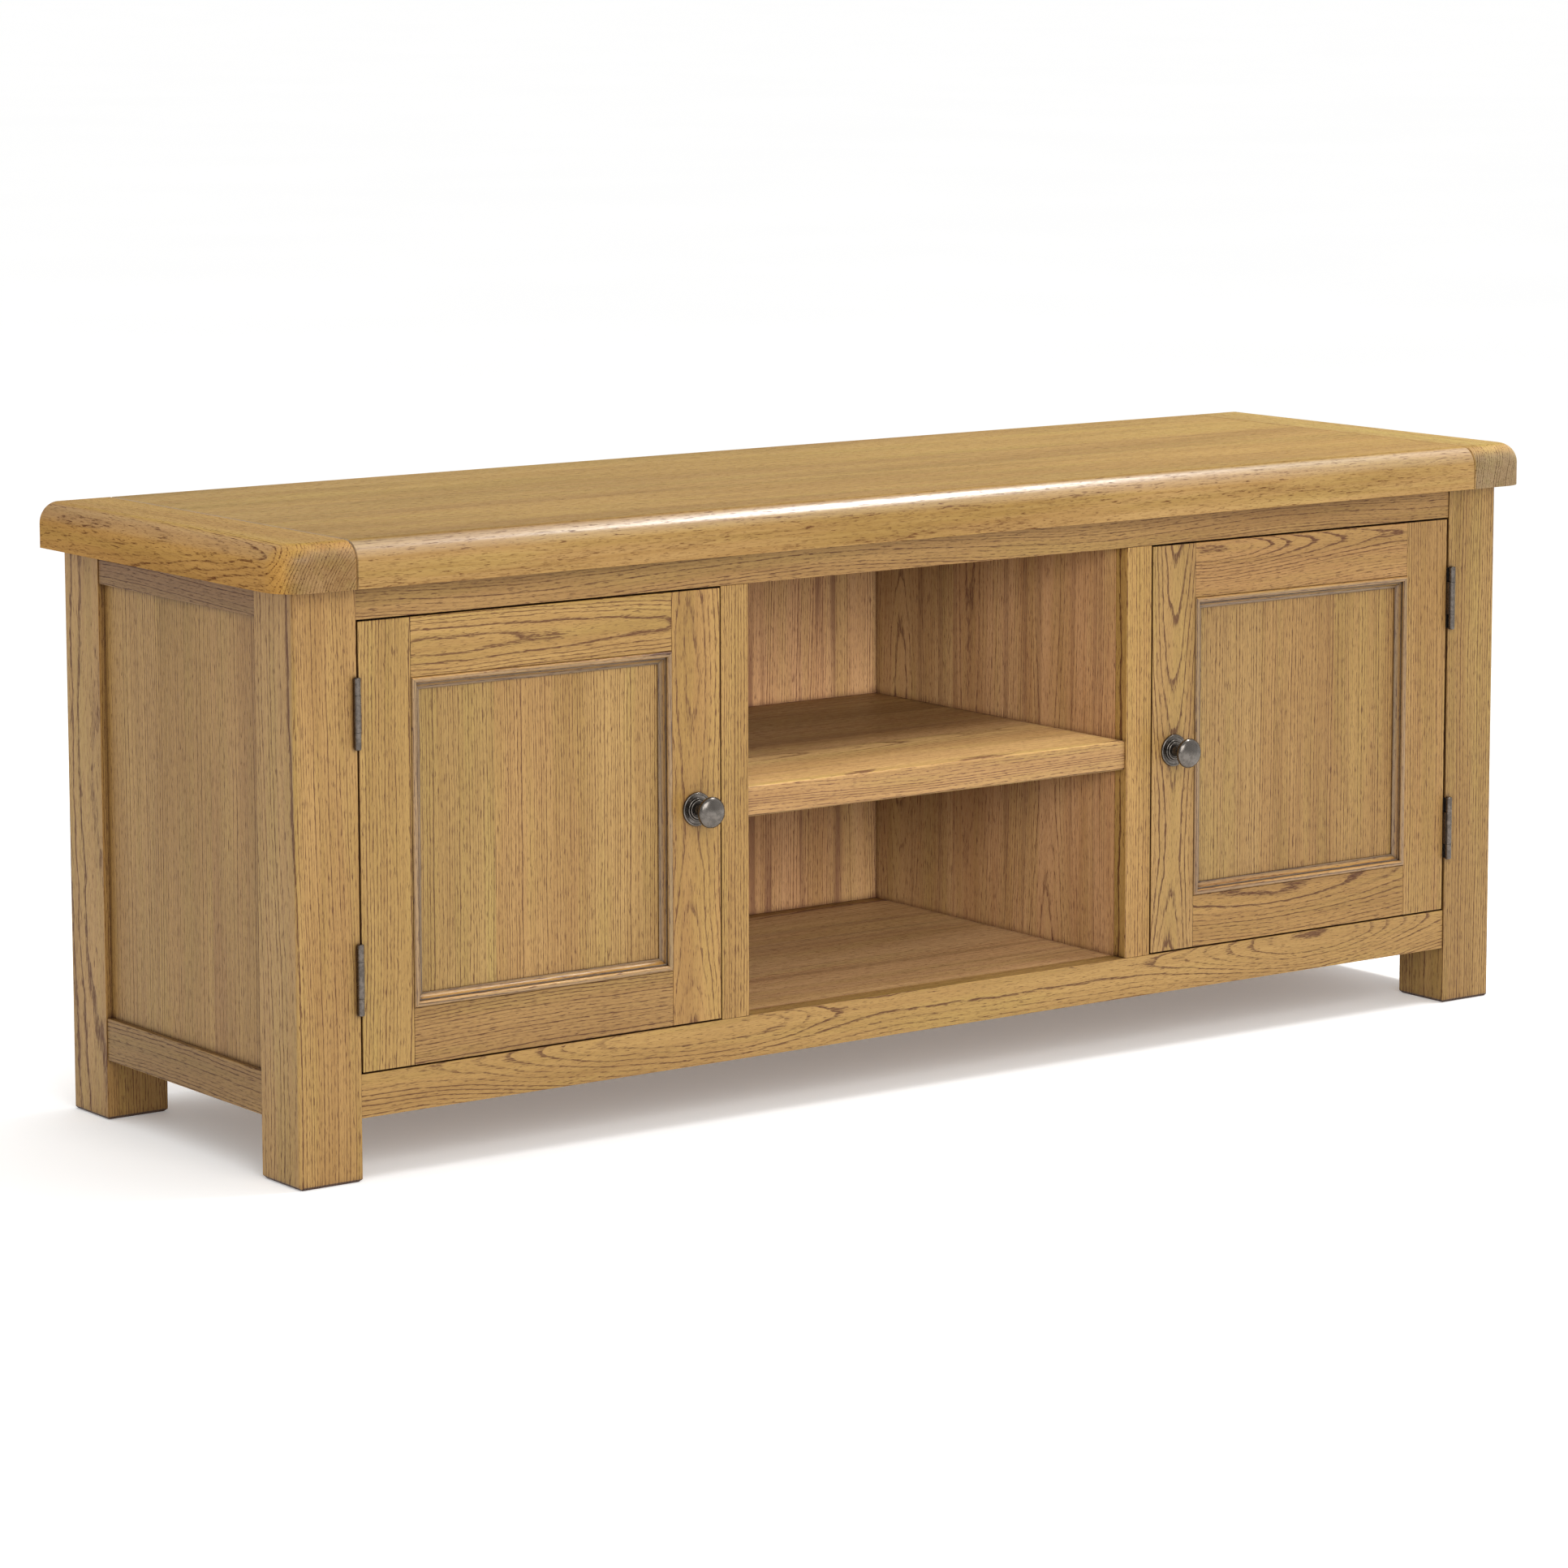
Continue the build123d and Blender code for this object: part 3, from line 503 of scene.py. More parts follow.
def pith_distance(graph, cathedral, wood, aside, depth, place_luck, depth_luck):
    """Distance from the pith, which lies behind the face and wanders along the board."""
    sway = graph.noise(graph.stretch(wood, SWAY), detail=1.0)
    sway = graph.math("SUBTRACT", sway, 0.5)
    reach = graph.math("MULTIPLY", cathedral, PITH_SWAY)
    rift = graph.math("SUBTRACT", 1.0, cathedral, clamp=True)
    pith_across = graph.math("MULTIPLY", graph.math("SUBTRACT", place_luck, 0.5), PITH_SPREAD)
    pith_across = graph.math("MULTIPLY_ADD", rift, RIFT_STEP, pith_across)
    side_step = graph.math("SUBTRACT", aside, pith_across)
    pith_depth = graph.math("MULTIPLY_ADD", depth_luck, PITH_DEPTH_SPREAD, PITH_DEPTH)
    shallow = graph.math("MULTIPLY_ADD", cathedral, -0.60, 1.25)
    pith_depth = graph.math("MULTIPLY", pith_depth, shallow)
    behind = graph.math("ADD", depth, pith_depth)
    squares = [graph.math("POWER", length, 2.0) for length in (side_step, behind)]
    radius = graph.math("SQRT", graph.math("ADD", *squares))
    radius = graph.math("MULTIPLY_ADD", sway, reach, radius)
    ripple = graph.noise(graph.stretch(wood, RIPPLES), detail=3.0)
    return graph.math("MULTIPLY_ADD", graph.math("SUBTRACT", ripple, 0.5), RIPPLE_DEPTH, radius)


def growth_rings(graph, radius, spacing, seed):
    """Growth rings of uneven width.

    Gives the place within the ring from 0 to 1, the ring's random number and its early wood.
    """
    uneven = graph.line_noise(graph.math("MULTIPLY", radius, 60.0))
    rings = graph.math("DIVIDE", radius, spacing)
    rings = graph.math("MULTIPLY_ADD", uneven, 1.8, rings)
    phase = graph.math("FRACT", rings)
    ring_luck = graph.chance(graph.math("ADD", graph.math("FLOOR", rings), seed))[0]
    onset = graph.smooth(phase, 0.0, 0.08)
    fade = graph.smooth(phase, 0.10, 0.42, 1.0, 0.0)
    early = graph.math("MULTIPLY", onset, fade)
    early = graph.math("MULTIPLY", early, graph.math("MULTIPLY_ADD", ring_luck, 0.80, 0.20))
    return phase, ring_luck, early


def open_pores(graph, wood, early):
    """Short dark dashes along the grain, thickest in the early wood."""
    coarse = graph.noise(graph.stretch(wood, COARSE_PORES), detail=2.0, roughness=0.6)
    fine = graph.noise(graph.stretch(wood, FINE_PORES, (3.1, 1.7, 0.9)), detail=1.0)
    coarse = graph.smooth(graph.math("MULTIPLY_ADD", early, 0.30, coarse), 0.605, 0.690)
    fine = graph.smooth(graph.math("MULTIPLY_ADD", early, 0.14, fine), 0.54, 0.66)
    return graph.math("MULTIPLY_ADD", fine, 0.34, graph.math("MULTIPLY", coarse, 0.72), clamp=True)


def ring_lines(graph, wood, phase, ring_luck, figure):
    """Broken brown line at the start of each ring, bold on a few of them."""
    broken = graph.noise(graph.stretch(wood, LINE_BREAKS, (0.7, 5.3, 2.9)), detail=2.0)
    line = graph.smooth(phase, 0.10, 0.34, 1.0, 0.0)
    line = graph.math("MULTIPLY", graph.smooth(phase, 0.0, 0.06), line)
    line = graph.math("MULTIPLY", line, graph.smooth(broken, 0.36, 0.60))
    bold_ring = graph.math("POWER", ring_luck, 3.0)
    line = graph.math("MULTIPLY", line, graph.math("MULTIPLY_ADD", bold_ring, 0.32, 0.22))
    return graph.math("MULTIPLY", line, figure)


def plain_wood(graph, oak, wood, cloud, fibre, streak, tone_luck):
    """Colour between the pores: soft bands, fine fibre, olive patches and brown streaks."""
    shade = graph.math("MULTIPLY", graph.smooth(cloud, 0.32, 0.68), 0.62)
    shade = graph.math("MULTIPLY_ADD", graph.smooth(fibre, 0.34, 0.66), 0.34, shade)
    plank_tone = graph.math("SUBTRACT", tone_luck, 0.5)
    plank_share = graph.math("MULTIPLY_ADD", streak, 0.50, 0.36)
    plank_tone = graph.math("MULTIPLY", plank_tone, plank_share)
    shade = graph.math("ADD", plank_tone, shade, clamp=True)
    colour = graph.mix(shade, opaque(oak.honey), opaque(oak.tan))
    patch = graph.noise(graph.stretch(wood, PATCHES, (8.2, 2.6, 4.4)), detail=2.0)
    patch = graph.math("MULTIPLY", graph.smooth(patch, 0.42, 0.66), 0.45)
    colour = graph.tone(patch, colour, OLIVE)
    bold = graph.noise(graph.stretch(wood, BOLD_STREAKS, (1.9, 7.7, 3.3)), detail=3.0)
    bold = graph.math("MULTIPLY", graph.smooth(bold, 0.55, 0.64), streak)
    return graph.mix(bold, colour, opaque(oak.brown))


def oak_group(oak):
    """Node group that turns board coordinates into the colour, roughness and relief of oak."""
    tree = bpy.data.node_groups.new("Oak grain", "ShaderNodeTree")
    for name, kind in (
        ("Board", "NodeSocketVector"),
        ("Plank", "NodeSocketFloat"),
        ("Seed", "NodeSocketFloat"),
        ("Cathedral", "NodeSocketFloat"),
        ("Streak", "NodeSocketFloat"),
        ("Figure", "NodeSocketFloat"),
        ("Tint", "NodeSocketVector"),
    ):
        tree.interface.new_socket(name, in_out="INPUT", socket_type=kind)
    for name, kind in (
        ("Colour", "NodeSocketColor"),
        ("Roughness", "NodeSocketFloat"),
        ("Relief", "NodeSocketFloat"),
        ("Ring", "NodeSocketFloat"),
    ):
        tree.interface.new_socket(name, in_out="OUTPUT", socket_type=kind)
    graph = Graph(tree)
    inputs = graph.add("NodeGroupInput").outputs

    wood, aside, depth, plank_luck, more_luck = cut_planks(graph, inputs)
    radius = pith_distance(
        graph, inputs["Cathedral"], wood, aside, depth, plank_luck[1], more_luck[0]
    )
    phase, ring_luck, ring = growth_rings(graph, radius, oak.ring, inputs["Seed"])
    early = graph.math("MULTIPLY", ring, inputs["Figure"])
    pores = open_pores(graph, wood, early)
    line = ring_lines(graph, wood, phase, ring_luck, inputs["Figure"])
    cloud = graph.noise(graph.stretch(wood, CLOUDS), detail=3.0, roughness=0.55)
    fibre = graph.noise(graph.stretch(wood, FIBRES), detail=3.0, roughness=0.65)

    colour = plain_wood(graph, oak, wood, cloud, fibre, inputs["Streak"], more_luck[1])
    colour = graph.mix(graph.math("MULTIPLY", early, 0.26), colour, opaque(oak.brown))
    colour = graph.mix(line, colour, opaque(oak.brown))
    colour = graph.mix(pores, colour, opaque(oak.pore))
    hue = graph.join(
        graph.math("MULTIPLY_ADD", more_luck[2], 0.06, 0.97),
        graph.math("MULTIPLY_ADD", plank_luck[0], 0.06, 0.97),
        graph.math("MULTIPLY_ADD", plank_luck[1], 0.12, 0.94),
    )
    tinted = graph.stretch(hue, inputs["Tint"])
    colour = graph.mix(1.0, colour, tinted, "MULTIPLY")

    roughness = graph.math("MULTIPLY_ADD", pores, 0.25, oak.lacquer)
    roughness = graph.math("MULTIPLY_ADD", cloud, 0.08, roughness, clamp=True)
    relief = graph.math("MULTIPLY_ADD", pores, -0.8, 1.0)
    relief = graph.math("MULTIPLY_ADD", early, -0.20, relief)
    relief = graph.math("MULTIPLY_ADD", fibre, 0.30, relief)

    outputs = graph.add("NodeGroupOutput").inputs
    graph.put(colour, outputs["Colour"])
    graph.put(roughness, outputs["Roughness"])
    graph.put(relief, outputs["Relief"])
    graph.put(ring, outputs["Ring"])
    return tree


def oak_material(
    name,
    board,
    grain,
    seed,
    plank=ONE_PLANK,
    cathedral=1.0,
    streak=0.0,
    figure=1.0,
    tint=(1, 1, 1),
    moulded=False,
    lipped=False,
    outside=None,
    wax=None,
    flat_tone=(1, 1, 1),
):
    """Lacquered oak for one piece.

    board makes the piece's coordinates in a graph, and grain is the axis along its grain.
    cathedral is how much the grain flames, streak how much its planks and stripes differ,
    and figure how strongly its rings show.
    A moulded piece holds dark glaze with painted shade in its narrow steps, is rubbed and
    carries a painted highlight on its crown, and has painted light on its upward steps.
    A lipped shelf has painted shade on its front edge, and outside is the tone of the
    face turned to the back of the cabinet. wax is how much the round-over of a top
    shines, and flat_tone is the tone of its level face, which is dull. Together with the
    tint, flat_tone leaves a top's front and round-over paler than its level face, partly
    the wood's tone and partly a painted highlight.
    """
    oak = bpy.context.scene.cabinet.oak
    group_tree = bpy.data.node_groups.get("Oak grain") or oak_group(oak)
    material, graph, shader = new_material(name)
    group = graph.add("ShaderNodeGroup", node_tree=group_tree)
    place = board(graph)
    for socket, value in (
        ("Board", place),
        ("Plank", plank),
        ("Seed", seed),
        ("Cathedral", cathedral),
        ("Streak", streak),
        ("Figure", figure),
        ("Tint", tint),
    ):
        graph.put(value, group.inputs[socket])
    colour, relief = group.outputs["Colour"], group.outputs["Relief"]
    normal = graph.split(graph.add("ShaderNodeTexCoord").outputs["Normal"])
    end_grain = graph.smooth(graph.math("ABSOLUTE", normal[grain]), 0.55, 0.97, 0.0, 0.80)
    colour = graph.tone(end_grain, colour, END_GRAIN)
    rings = graph.math("MULTIPLY", end_grain, group.outputs["Ring"])
    colour = graph.tone(rings, colour, END_RINGS)
    if moulded:
        # glaze and painted shade: grooves and quirks that the occlusion finds are darkened
        glaze_and_shade = graph.smooth(graph.crevice(GLAZE_AND_SHADE_REACH), 0.45, 0.97, 1.0, 0.0)
        # rubbed wear and a painted highlight: the most proud part of the moulding is lightened as
        # if it caught the light
        crown = graph.smooth(graph.split(place)[2], 0.0002, 0.0010, 0.80, 0.0)
        colour = graph.tone(crown, colour, RUBBED_AND_HIGHLIGHTED_CROWN)
        # painted light: the upward-facing steps of the moulding are lightened as if lit from above
        colour = graph.tone(graph.smooth(normal[Z], 0.10, 0.55), colour, PAINTED_LIGHT_ON_UPWARD_STEPS)
        colour = graph.tone(glaze_and_shade, colour, MOULDING_GLAZE_AND_SHADE)
    else:
        # stain and painted shade: corners and joints that the occlusion finds are darkened
        stain_and_shade = graph.smooth(graph.crevice(STAIN_AND_SHADE_REACH), 0.30, 0.90, 1.0, 0.0)
        colour = graph.tone(stain_and_shade, colour, CORNER_STAIN_AND_SHADE)
    if lipped:
        # painted shade on the shelf's front edge
        colour = graph.tone(graph.math("LESS_THAN", normal[Y], -FACING), colour, LIPPING_SHADE)
    if outside:
        colour = graph.tone(graph.math("GREATER_THAN", normal[Y], FACING), colour, outside)
    # wear and painted highlight: outer edges are lightened
    worn_and_highlighted = graph.smooth(graph.crevice(WEAR_AND_HIGHLIGHT_REACH, inside=True), 0.45, 0.95, 0.30, 0.0)
    colour = graph.tone(worn_and_highlighted, colour, WORN_AND_HIGHLIGHTED_EDGES)
    if wax:
        colour = graph.tone(graph.smooth(normal[Z], 0.90, 0.99), colour, flat_tone)
    graph.put(colour, shader.inputs["Base Color"])
    graph.put(group.outputs["Roughness"], shader.inputs["Roughness"])
    graph.put(graph.bump(relief, strength=0.35, distance=0.0005), shader.inputs["Normal"])
    shader.inputs["Coat Roughness"].default_value = COAT_ROUGHNESS
    if wax:
        edge = graph.smooth(normal[Z], 0.84, 0.985, wax, 0.0)
        edge = graph.math("MULTIPLY", edge, graph.smooth(normal[Z], 0.10, 0.45))
        graph.put(graph.math("MULTIPLY_ADD", edge, 0.25, 0.05), shader.inputs["Specular IOR Level"])
        shine = graph.math("MULTIPLY", relief, 0.9)
        graph.put(graph.math("MULTIPLY", edge, shine, clamp=True), shader.inputs["Coat Weight"])
    else:
        shader.inputs["Specular IOR Level"].default_value = GLOSS
        shader.inputs["Coat Weight"].default_value = MOULDED_COAT if moulded else GLOSS / 3
    return material


def finish_board(name, grain, face, **grain_options):
    """Oak on one CAD board, with its grain along one axis and its show face on one side."""
    low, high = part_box(name)
    centre = (low + high) / 2
    axis, side = face
    centre[axis] = (low if side < 0 else high)[axis]

    def board(graph):
        if grain_options.get("lipped"):
            return lipped_coordinates(graph, centre, low.y)
        return board_coordinates(graph, grain, axis, centre)

    seed = round(luck.uniform(0, SEED_SPAN), 2)
    paint(name, oak_material(name, board, grain, seed, **grain_options))


class CABINET_OT_top(Operator):
    """Finish the planked top and its two cross-grain end boards"""

    bl_idname = "cabinet.finish_top"
    bl_label = "Finish Top"

    def execute(self, context):
        low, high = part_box("top_panel")
        finish_board(
            "top_panel",
            X,
            UP,
            plank=(high.y - low.y) / TOP_PLANKS,
            cathedral=0.08,
            figure=0.35,
            # the tint makes the front and round-over paler and brighter, partly the wood's tone and
            # partly a painted highlight; flat_tone darkens the level face again
            tint=(1.05, 1.12, 1.50),
            flat_tone=(0.84, 0.785, 0.450),
            wax=1.0,
        )
        for side in SIDES:
            finish_board(
                f"top_end_{side}",
                Y,
                UP,
                cathedral=0.55,
                figure=0.6,
                tint=TOP_END_TINT[side],
                flat_tone=(0.92, 0.98, 0.78),
                wax=0.25,
            )
        return {"FINISHED"}


class CABINET_OT_legs(Operator):
    """Finish the four legs"""

    bl_idname = "cabinet.finish_legs"
    bl_label = "Finish Legs"

    def execute(self, context):
        for row, face in (("front", FRONT), ("back", BACK)):
            for side in SIDES:
                look = {"cathedral": 0.25, "tint": SIDE_TINT_AND_SHADE[side]}
                finish_board(f"leg_{row}_{side}", Z, face, **look)
        return {"FINISHED"}


class CABINET_OT_rails(Operator):
    """Finish the rails between the legs"""

    bl_idname = "cabinet.finish_rails"
    bl_label = "Finish Rails"

    def execute(self, context):
        for level, (flame, front_shade, side_shade) in RAIL_LOOKS.items():
            finish_board(f"front_{level}_rail", X, FRONT, cathedral=flame, tint=front_shade)
            finish_board(f"back_{level}_rail", X, BACK)
            for side in SIDES:
                look = {"cathedral": 0.5, "tint": side_shade}
                finish_board(f"side_{level}_rail_{side}", Y, OUTWARD[side], **look)
        return {"FINISHED"}


class CABINET_OT_side_panels(Operator):
    """Finish the boarded panels of both sides"""

    bl_idname = "cabinet.finish_side_panels"
    bl_label = "Finish Side Panels"

    def execute(self, context):
        for side in SIDES:
            low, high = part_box(f"side_panel_{side}")
            plank = (high.y - low.y) / WALL_PLANKS
            look = {"plank": plank, "cathedral": 0.15, "tint": (0.96, 0.92, 0.86)}
            finish_board(f"side_panel_{side}", Z, OUTWARD[side], **look)
        return {"FINISHED"}


class CABINET_OT_dividers(Operator):
    """Finish the divider posts and the partitions behind them"""

    bl_idname = "cabinet.finish_dividers"
    bl_label = "Finish Dividers"

    def execute(self, context):
        for side in SIDES:
            finish_board(f"divider_post_{side}", Z, FRONT, cathedral=0.1)
            low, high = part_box(f"partition_{side}")
            plank = (high.y - low.y) / WALL_PLANKS
            look = {"plank": plank, "cathedral": 0.9, "streak": 0.40, "figure": 0.8}
            finish_board(f"partition_{side}", Z, INWARD[side], tint=INSIDE_TINT, **look)
        return {"FINISHED"}


class CABINET_OT_inside(Operator):
    """Finish the floor board, the back panel and the shelves"""

    bl_idname = "cabinet.finish_inside"
    bl_label = "Finish Inside"

    def execute(self, context):
        low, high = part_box("floor_board")
        plank = (high.y - low.y) / WALL_PLANKS
        look = {"plank": plank, "cathedral": 0.6, "streak": 0.35}
        finish_board("floor_board", X, UP, tint=INSIDE_TINT, **look)
        low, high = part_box("back_panel")
        finish_board(
            "back_panel",
            Z,
            FRONT,
            plank=(high.x - low.x) / BACK_LEAVES,
            cathedral=0.4,
            streak=0.8,
            tint=INSIDE_TINT,
            outside=(1.0, 0.98, 0.66),
        )
        look["lipped"] = True
        finish_board("centre_shelf", X, UP, tint=SHELF_TINT, **look)
        for side in SIDES:
            finish_board(f"cupboard_shelf_{side}", X, UP, tint=INSIDE_TINT, **look)
        return {"FINISHED"}


class CABINET_OT_door_frames(Operator):
    """Finish the stiles and rails of both doors"""

    bl_idname = "cabinet.finish_door_frames"
    bl_label = "Finish Door Frames"

    def execute(self, context):
        for side in SIDES:
            tint = SIDE_TINT_AND_SHADE[side]
            finish_board(f"{side}_door_hinge_stile", Z, FRONT, cathedral=0.3, tint=tint)
            finish_board(f"{side}_door_lock_stile", Z, FRONT, cathedral=1.1, tint=tint)
            look = {"cathedral": 1.5, "figure": 0.85, "tint": tint}
            finish_board(f"{side}_door_top_rail", X, FRONT, **look)
            # painted shade: the bottom rails are darker, as low parts get less light from the floor
            look = {"cathedral": 0.7, "tint": (0.82, 0.79, 0.77)}
            finish_board(f"{side}_door_bottom_rail", X, FRONT, **look)
        return {"FINISHED"}


class CABINET_OT_door_panels(Operator):
    """Finish the recessed panels of both doors"""

    bl_idname = "cabinet.finish_door_panels"
    bl_label = "Finish Door Panels"

    def execute(self, context):
        for side in SIDES:
            low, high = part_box(f"{side}_door_panel")
            plank = (high.x - low.x) / WALL_PLANKS
            look = {"plank": plank, "cathedral": 0.1, "tint": DOOR_PANEL_TINT_AND_SHADE[side]}
            finish_board(f"{side}_door_panel", Z, FRONT, **look)
        return {"FINISHED"}


def mitred_coordinates(graph, low, high):
    """Board coordinates that turn with the grain at each mitre of a rectangular beading."""
    middle = (low + high) / 2
    half = (high - low) / 2
    place = graph.split(graph.add("ShaderNodeTexCoord").outputs["Object"])
    x = graph.math("SUBTRACT", place[X], middle.x)
    y = graph.math("SUBTRACT", place[Y], low.y)
    z = graph.math("SUBTRACT", place[Z], middle.z)
    from_side = graph.math("SUBTRACT", half.x, graph.math("ABSOLUTE", x))
    from_end = graph.math("SUBTRACT", half.z, graph.math("ABSOLUTE", z))
    level = graph.math("GREATER_THAN", from_side, from_end)
    upright_board = graph.join(z, x, y)
    level_board = graph.join(x, z, y)
    return graph.choose(level, upright_board, level_board)


class CABINET_OT_beading(Operator):
    """Finish the mitred beading round both door panels"""

    bl_idname = "cabinet.finish_beading"
    bl_label = "Finish Beading"

    def execute(self, context):
        for side in SIDES:
            name = f"{side}_door_beading"
            low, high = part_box(name)

            def board(graph):
                return mitred_coordinates(graph, low, high)

            seed = luck.uniform(0, SEED_SPAN)
            look = {"cathedral": 0.2, "tint": (0.78, 0.74, 0.66), "moulded": True}
            paint(name, oak_material(name, board, Y, seed, **look))
        return {"FINISHED"}


# ---------------------------------------------------------------- metal and plastic


# Share of the metal's colour that is left in its dull spots
SPOT_TONE = 0.66


def worn_metal(name, colour, dark, roughness, grime_reach, mottle):
    """Old plated metal, mottled, and darker and duller in its hollows.

    grime_reach is how far the dark spreads from a corner, in metres, and mottle is how
    many spots there are to a metre.
    """
    material, graph, shader = new_material(name)
    place = graph.add("ShaderNodeTexCoord").outputs["Object"]
    blotch = graph.noise(place, mottle, detail=4.0, roughness=0.6)
    grain = graph.noise(place, mottle * 8, detail=2.0, roughness=0.6)
    hollow = graph.smooth(graph.crevice(grime_reach), 0.35, 0.95, 0.85, 0.0)
    spots = graph.smooth(blotch, 0.38, 0.66)
    mottled = graph.mix(spots, opaque(colour), opaque([SPOT_TONE * c for c in colour]))
    graph.put(graph.mix(hollow, mottled, opaque(dark)), shader.inputs["Base Color"])
    uneven = graph.math("MULTIPLY_ADD", spots, 0.14, roughness)
    uneven = graph.math("MULTIPLY_ADD", hollow, 0.25, uneven, clamp=True)
    graph.put(uneven, shader.inputs["Roughness"])
    height = graph.math("MULTIPLY_ADD", grain, 0.35, blotch)
    graph.put(graph.bump(height, strength=0.22, distance=0.0004), shader.inputs["Normal"])
    shader.inputs["Metallic"].default_value = 1.0
    return material


class CABINET_OT_knobs(Operator):
    """Finish the turned knobs and their plates in rubbed pewter"""

    bl_idname = "cabinet.finish_knobs"
    bl_label = "Finish Knobs"

    def execute(self, context):
        pewter = worn_metal(
            "rubbed_pewter",
            context.scene.cabinet.metal.pewter,
            dark=(0.020, 0.017, 0.014),
            roughness=0.20,
            grime_reach=0.006,
            mottle=160.0,
        )
        for side in SIDES:
            paint(f"{side}_door_knob", pewter)
            paint(f"{side}_door_knob_plate", pewter)
        return {"FINISHED"}


class CABINET_OT_hinges(Operator):
    """Finish the butt hinges in antique bronze"""

    bl_idname = "cabinet.finish_hinges"
    bl_label = "Finish Hinges"

    def execute(self, context):
        bronze = worn_metal(
            "antique_bronze",
            context.scene.cabinet.metal.bronze,
            dark=(0.02, 0.015, 0.012),
            roughness=0.26,
            grime_reach=0.0015,
            mottle=260.0,
        )
        for side in SIDES:
            for row in ROWS:
                paint(f"{row}_frame_leaf_{side}", bronze)
                paint(f"{row}_door_leaf_{side}", bronze)
        paint("hinge_pins", bronze)
        return {"FINISHED"}


class CABINET_OT_screws(Operator):
    """Finish the hinge screws, catch screws and knob screws"""

    bl_idname = "cabinet.finish_screws"
    bl_label = "Finish Screws"

    def execute(self, context):
        dull = worn_metal(
            "dull_screws",
            context.scene.cabinet.metal.bronze * 1.4,
            dark=(0.03, 0.02, 0.015),
            roughness=0.36,
            grime_reach=0.001,
            mottle=600.0,
        )
        paint("frame_screws", dull)
        for side in SIDES:
            paint(f"{side}_door_hinge_screws", dull)
            paint(f"{side}_door_knob_screw", dull)
        return {"FINISHED"}


class CABINET_OT_fittings(Operator):
    """Finish the magnetic catches, their strike plates and the shelf pins"""

    bl_idname = "cabinet.finish_fittings"
    bl_label = "Finish Fittings"

    def execute(self, context):
        metal = context.scene.cabinet.metal
        steel = worn_metal(
            "zinc_plate",
            metal.steel,
            dark=(0.12, 0.11, 0.10),
            roughness=0.30,
            grime_reach=0.001,
            mottle=500.0,
        )
        for side in SIDES:
            paint(f"{side}_door_strike_plate", steel)
        paint("shelf_pins", steel)
        material, graph, shader = new_material("catch_plastic")
        place = graph.add("ShaderNodeTexCoord").outputs["Object"]
        grain = graph.noise(place, 2600.0)
        tone = graph.noise(place, 70.0)
        pale = [1.5 * c for c in metal.plastic]
        graph.put(graph.mix(tone, opaque(metal.plastic), opaque(pale)), shader.inputs["Base Color"])
        graph.put(graph.math("MULTIPLY_ADD", grain, 0.2, 0.42), shader.inputs["Roughness"])
        graph.put(graph.bump(grain, strength=0.25, distance=0.0002), shader.inputs["Normal"])
        paint("magnetic_catches", material)
        return {"FINISHED"}


# ---------------------------------------------------------------- stage


WHITE = (1.0, 1.0, 1.0, 1.0)
FLOOR_REACH = 60.0
FLOOR_GLOW = 0.16
FARTHEST_VIEW = 500.0


def place_camera(scene, stage):
    """Camera at its place, turned by its heading, tilt and roll."""
    view = bpy.data.objects.new("camera", bpy.data.cameras.new("camera"))
    scene.collection.objects.link(view)
    view.data.lens = stage.lens
    view.data.shift_y = stage.rise
    view.data.clip_end = FARTHEST_VIEW
    turn = (
        Matrix.Rotation(-stage.heading, 3, "Z")
        @ Matrix.Rotation(math.pi / 2 - stage.tilt, 3, "X")
        @ Matrix.Rotation(-stage.roll, 3, "Z")
    )
    view.matrix_world = Matrix.Translation(stage.camera_place) @ turn.to_4x4()
    scene.camera = view


def lay_floor(scene, stage):
    """Pale floor that glows a little, so that shadows on it stay soft and light."""
    mesh = bpy.data.meshes.new("floor")
    corners = ((-1, -1), (1, -1), (1, 1), (-1, 1))
    places = [(x * FLOOR_REACH, y * FLOOR_REACH, 0) for x, y in corners]
    mesh.from_pydata(places, [], [(0, 1, 2, 3)])
    floor = bpy.data.objects.new("floor", mesh)
    scene.collection.objects.link(floor)
    material, graph, shader = new_material("pale_floor")
    place = graph.add("ShaderNodeTexCoord").outputs["Object"]
    tone = graph.smooth(graph.noise(place, 0.8), 0.3, 0.7, 0.985, 1.0)
    pale = graph.mix(1.0, opaque(stage.floor_tone), graph.join(tone, tone, tone), "MULTIPLY")
    graph.put(pale, shader.inputs["Base Color"])
    shader.inputs["Roughness"].default_value = 0.85
    shader.inputs["Emission Color"].default_value = WHITE
    shader.inputs["Emission Strength"].default_value = FLOOR_GLOW
    mesh.materials.append(material)
    floor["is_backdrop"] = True


def light_sky(scene, stage):
    """Even white light from all round, weaker on the camera's side."""
    world = bpy.data.worlds.new("studio")
    world.use_nodes = True
    background = world.node_tree.nodes["Background"]
    graph = Graph(world.node_tree)
    direction = graph.split(graph.add("ShaderNodeTexCoord").outputs["Generated"])
    away = graph.math("MULTIPLY", direction[X], math.sin(stage.heading))
    away = graph.math("MULTIPLY_ADD", direction[Y], math.cos(stage.heading), away)
    strength = graph.smooth(away, -0.6, 0.45, stage.near_sky_power, stage.sky_power)
    graph.put(strength, background.inputs["Strength"])
    background.inputs["Color"].default_value = WHITE
    scene.world = world


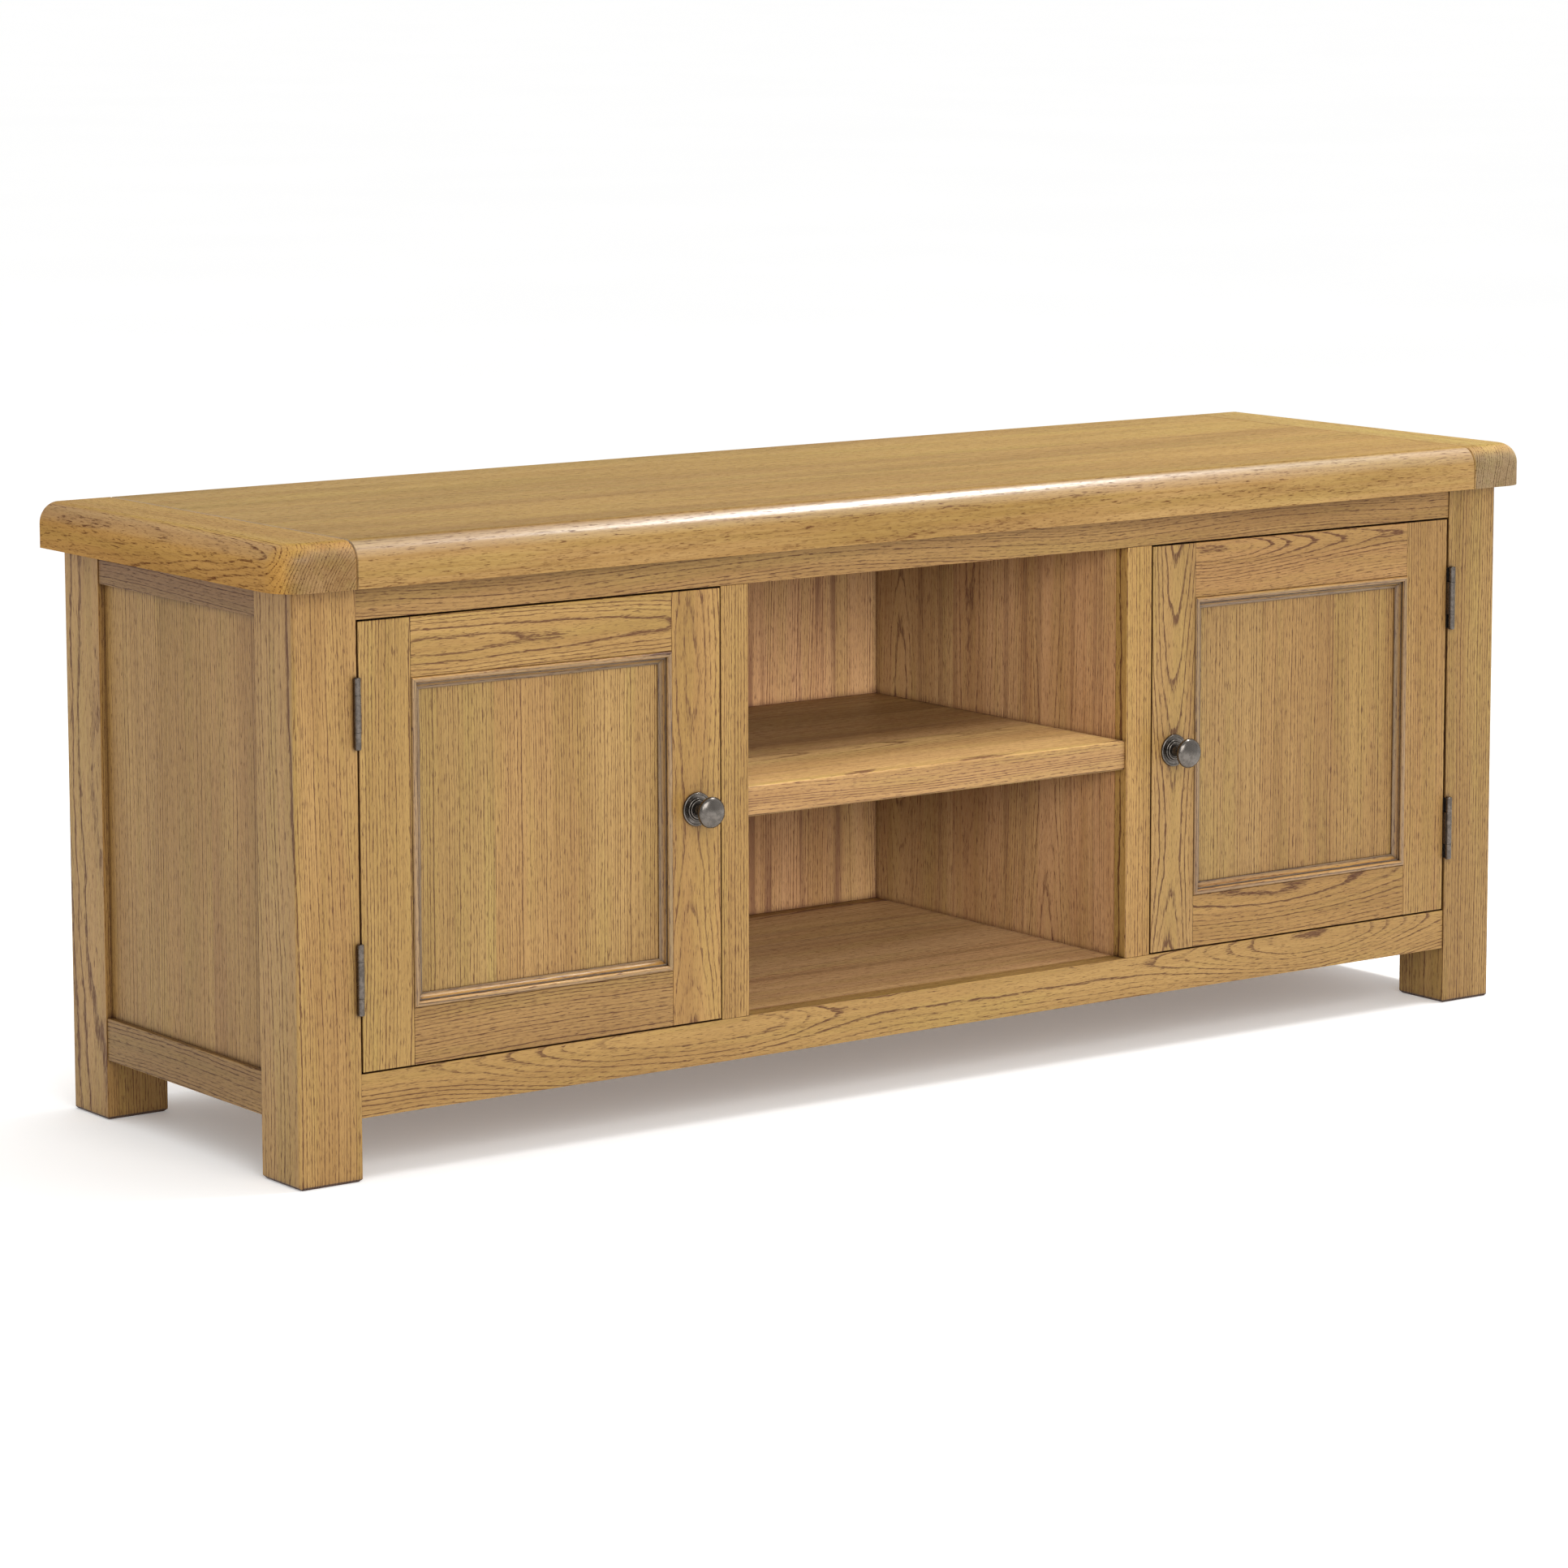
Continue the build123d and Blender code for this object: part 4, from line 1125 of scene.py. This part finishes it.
def soft_light(name, place, target, size, power):
    """Rectangular lamp that points at the target."""
    lamp = bpy.data.lights.new(name, "AREA")
    lamp.shape = "RECTANGLE"
    lamp.size, lamp.size_y = size
    lamp.energy = power
    obj = bpy.data.objects.new(name, lamp)
    bpy.context.scene.collection.objects.link(obj)
    obj.location = place
    obj.rotation_euler = (Vector(target) - obj.location).to_track_quat("-Z", "Y").to_euler()
    return obj


def light_only(lamp, node_names):
    """Keep a lamp off everything but the named CAD nodes."""
    lit = bpy.data.collections.new(f"lit_by_{lamp.name}")
    for name in node_names:
        lit.objects.link(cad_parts[name])
    lamp.light_linking.receiver_collection = lit


class CABINET_OT_stage(Operator):
    """Set the cabinet on a pale floor under soft light, and place the camera"""

    bl_idname = "cabinet.make_stage"
    bl_label = "Make Stage"

    def execute(self, context):
        scene = context.scene
        stage = scene.cabinet.stage
        scene.view_settings.view_transform = "Standard"
        place_camera(scene, stage)
        lay_floor(scene, stage)
        light_sky(scene, stage)

        low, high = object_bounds()
        centre = (low + high) / 2
        lamps = {}
        for name, place, size, power in (
            ("key_light", (-1.0, -3.2, 1.9), (2.6, 2.0), stage.key_power),
            ("top_light", (1.4, -0.35, 2.6), (1.5, 0.35), stage.top_power),
            ("bay_light", (-0.8, -2.8, 1.1), (1.2, 1.2), stage.bay_power),
            ("shelf_light", (-0.5, -1.5, 2.4), (1.0, 1.0), stage.shelf_power),
        ):
            lamps[name] = soft_light(name, place, centre, size, power)
        walls = ("floor_board", "back_panel", "partition_left", "partition_right")
        light_only(lamps["bay_light"], walls)
        light_only(lamps["shelf_light"], ("centre_shelf",))
        return {"FINISHED"}


# ---------------------------------------------------------------- panel


STEPS = (
    CABINET_OT_top,
    CABINET_OT_legs,
    CABINET_OT_rails,
    CABINET_OT_side_panels,
    CABINET_OT_dividers,
    CABINET_OT_inside,
    CABINET_OT_door_frames,
    CABINET_OT_door_panels,
    CABINET_OT_beading,
    CABINET_OT_knobs,
    CABINET_OT_hinges,
    CABINET_OT_screws,
    CABINET_OT_fittings,
    CABINET_OT_stage,
)


class CABINET_PT_sidebar(Panel):
    """Lists the cabinet's settings and the steps that finish it"""

    bl_idname = "CABINET_PT_sidebar"
    bl_label = "Oak Media Cabinet"
    bl_space_type = "VIEW_3D"
    bl_region_type = "UI"
    bl_category = "Cabinet"

    def draw(self, context):
        cabinet = context.scene.cabinet
        groups = {"Oak": cabinet.oak, "Metal": cabinet.metal, "Stage": cabinet.stage}
        for heading, group in groups.items():
            box = self.layout.box()
            box.label(text=heading)
            for name in group.__annotations__:
                box.prop(group, name)
        column = self.layout.column(align=True)
        for step in STEPS:
            column.operator(step.bl_idname)


CLASSES = (OakSettings, MetalSettings, StageSettings, CabinetSettings, *STEPS, CABINET_PT_sidebar)


def register():
    for cls in CLASSES:
        bpy.utils.register_class(cls)
    bpy.types.Scene.cabinet = PointerProperty(type=CabinetSettings)


def unregister():
    del bpy.types.Scene.cabinet
    for cls in reversed(CLASSES):
        bpy.utils.unregister_class(cls)


def main():
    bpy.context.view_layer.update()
    register()
    for step in STEPS:
        family, operation = step.bl_idname.split(".")
        getattr(getattr(bpy.ops, family), operation)()


if __name__ == "__main__":
    main()
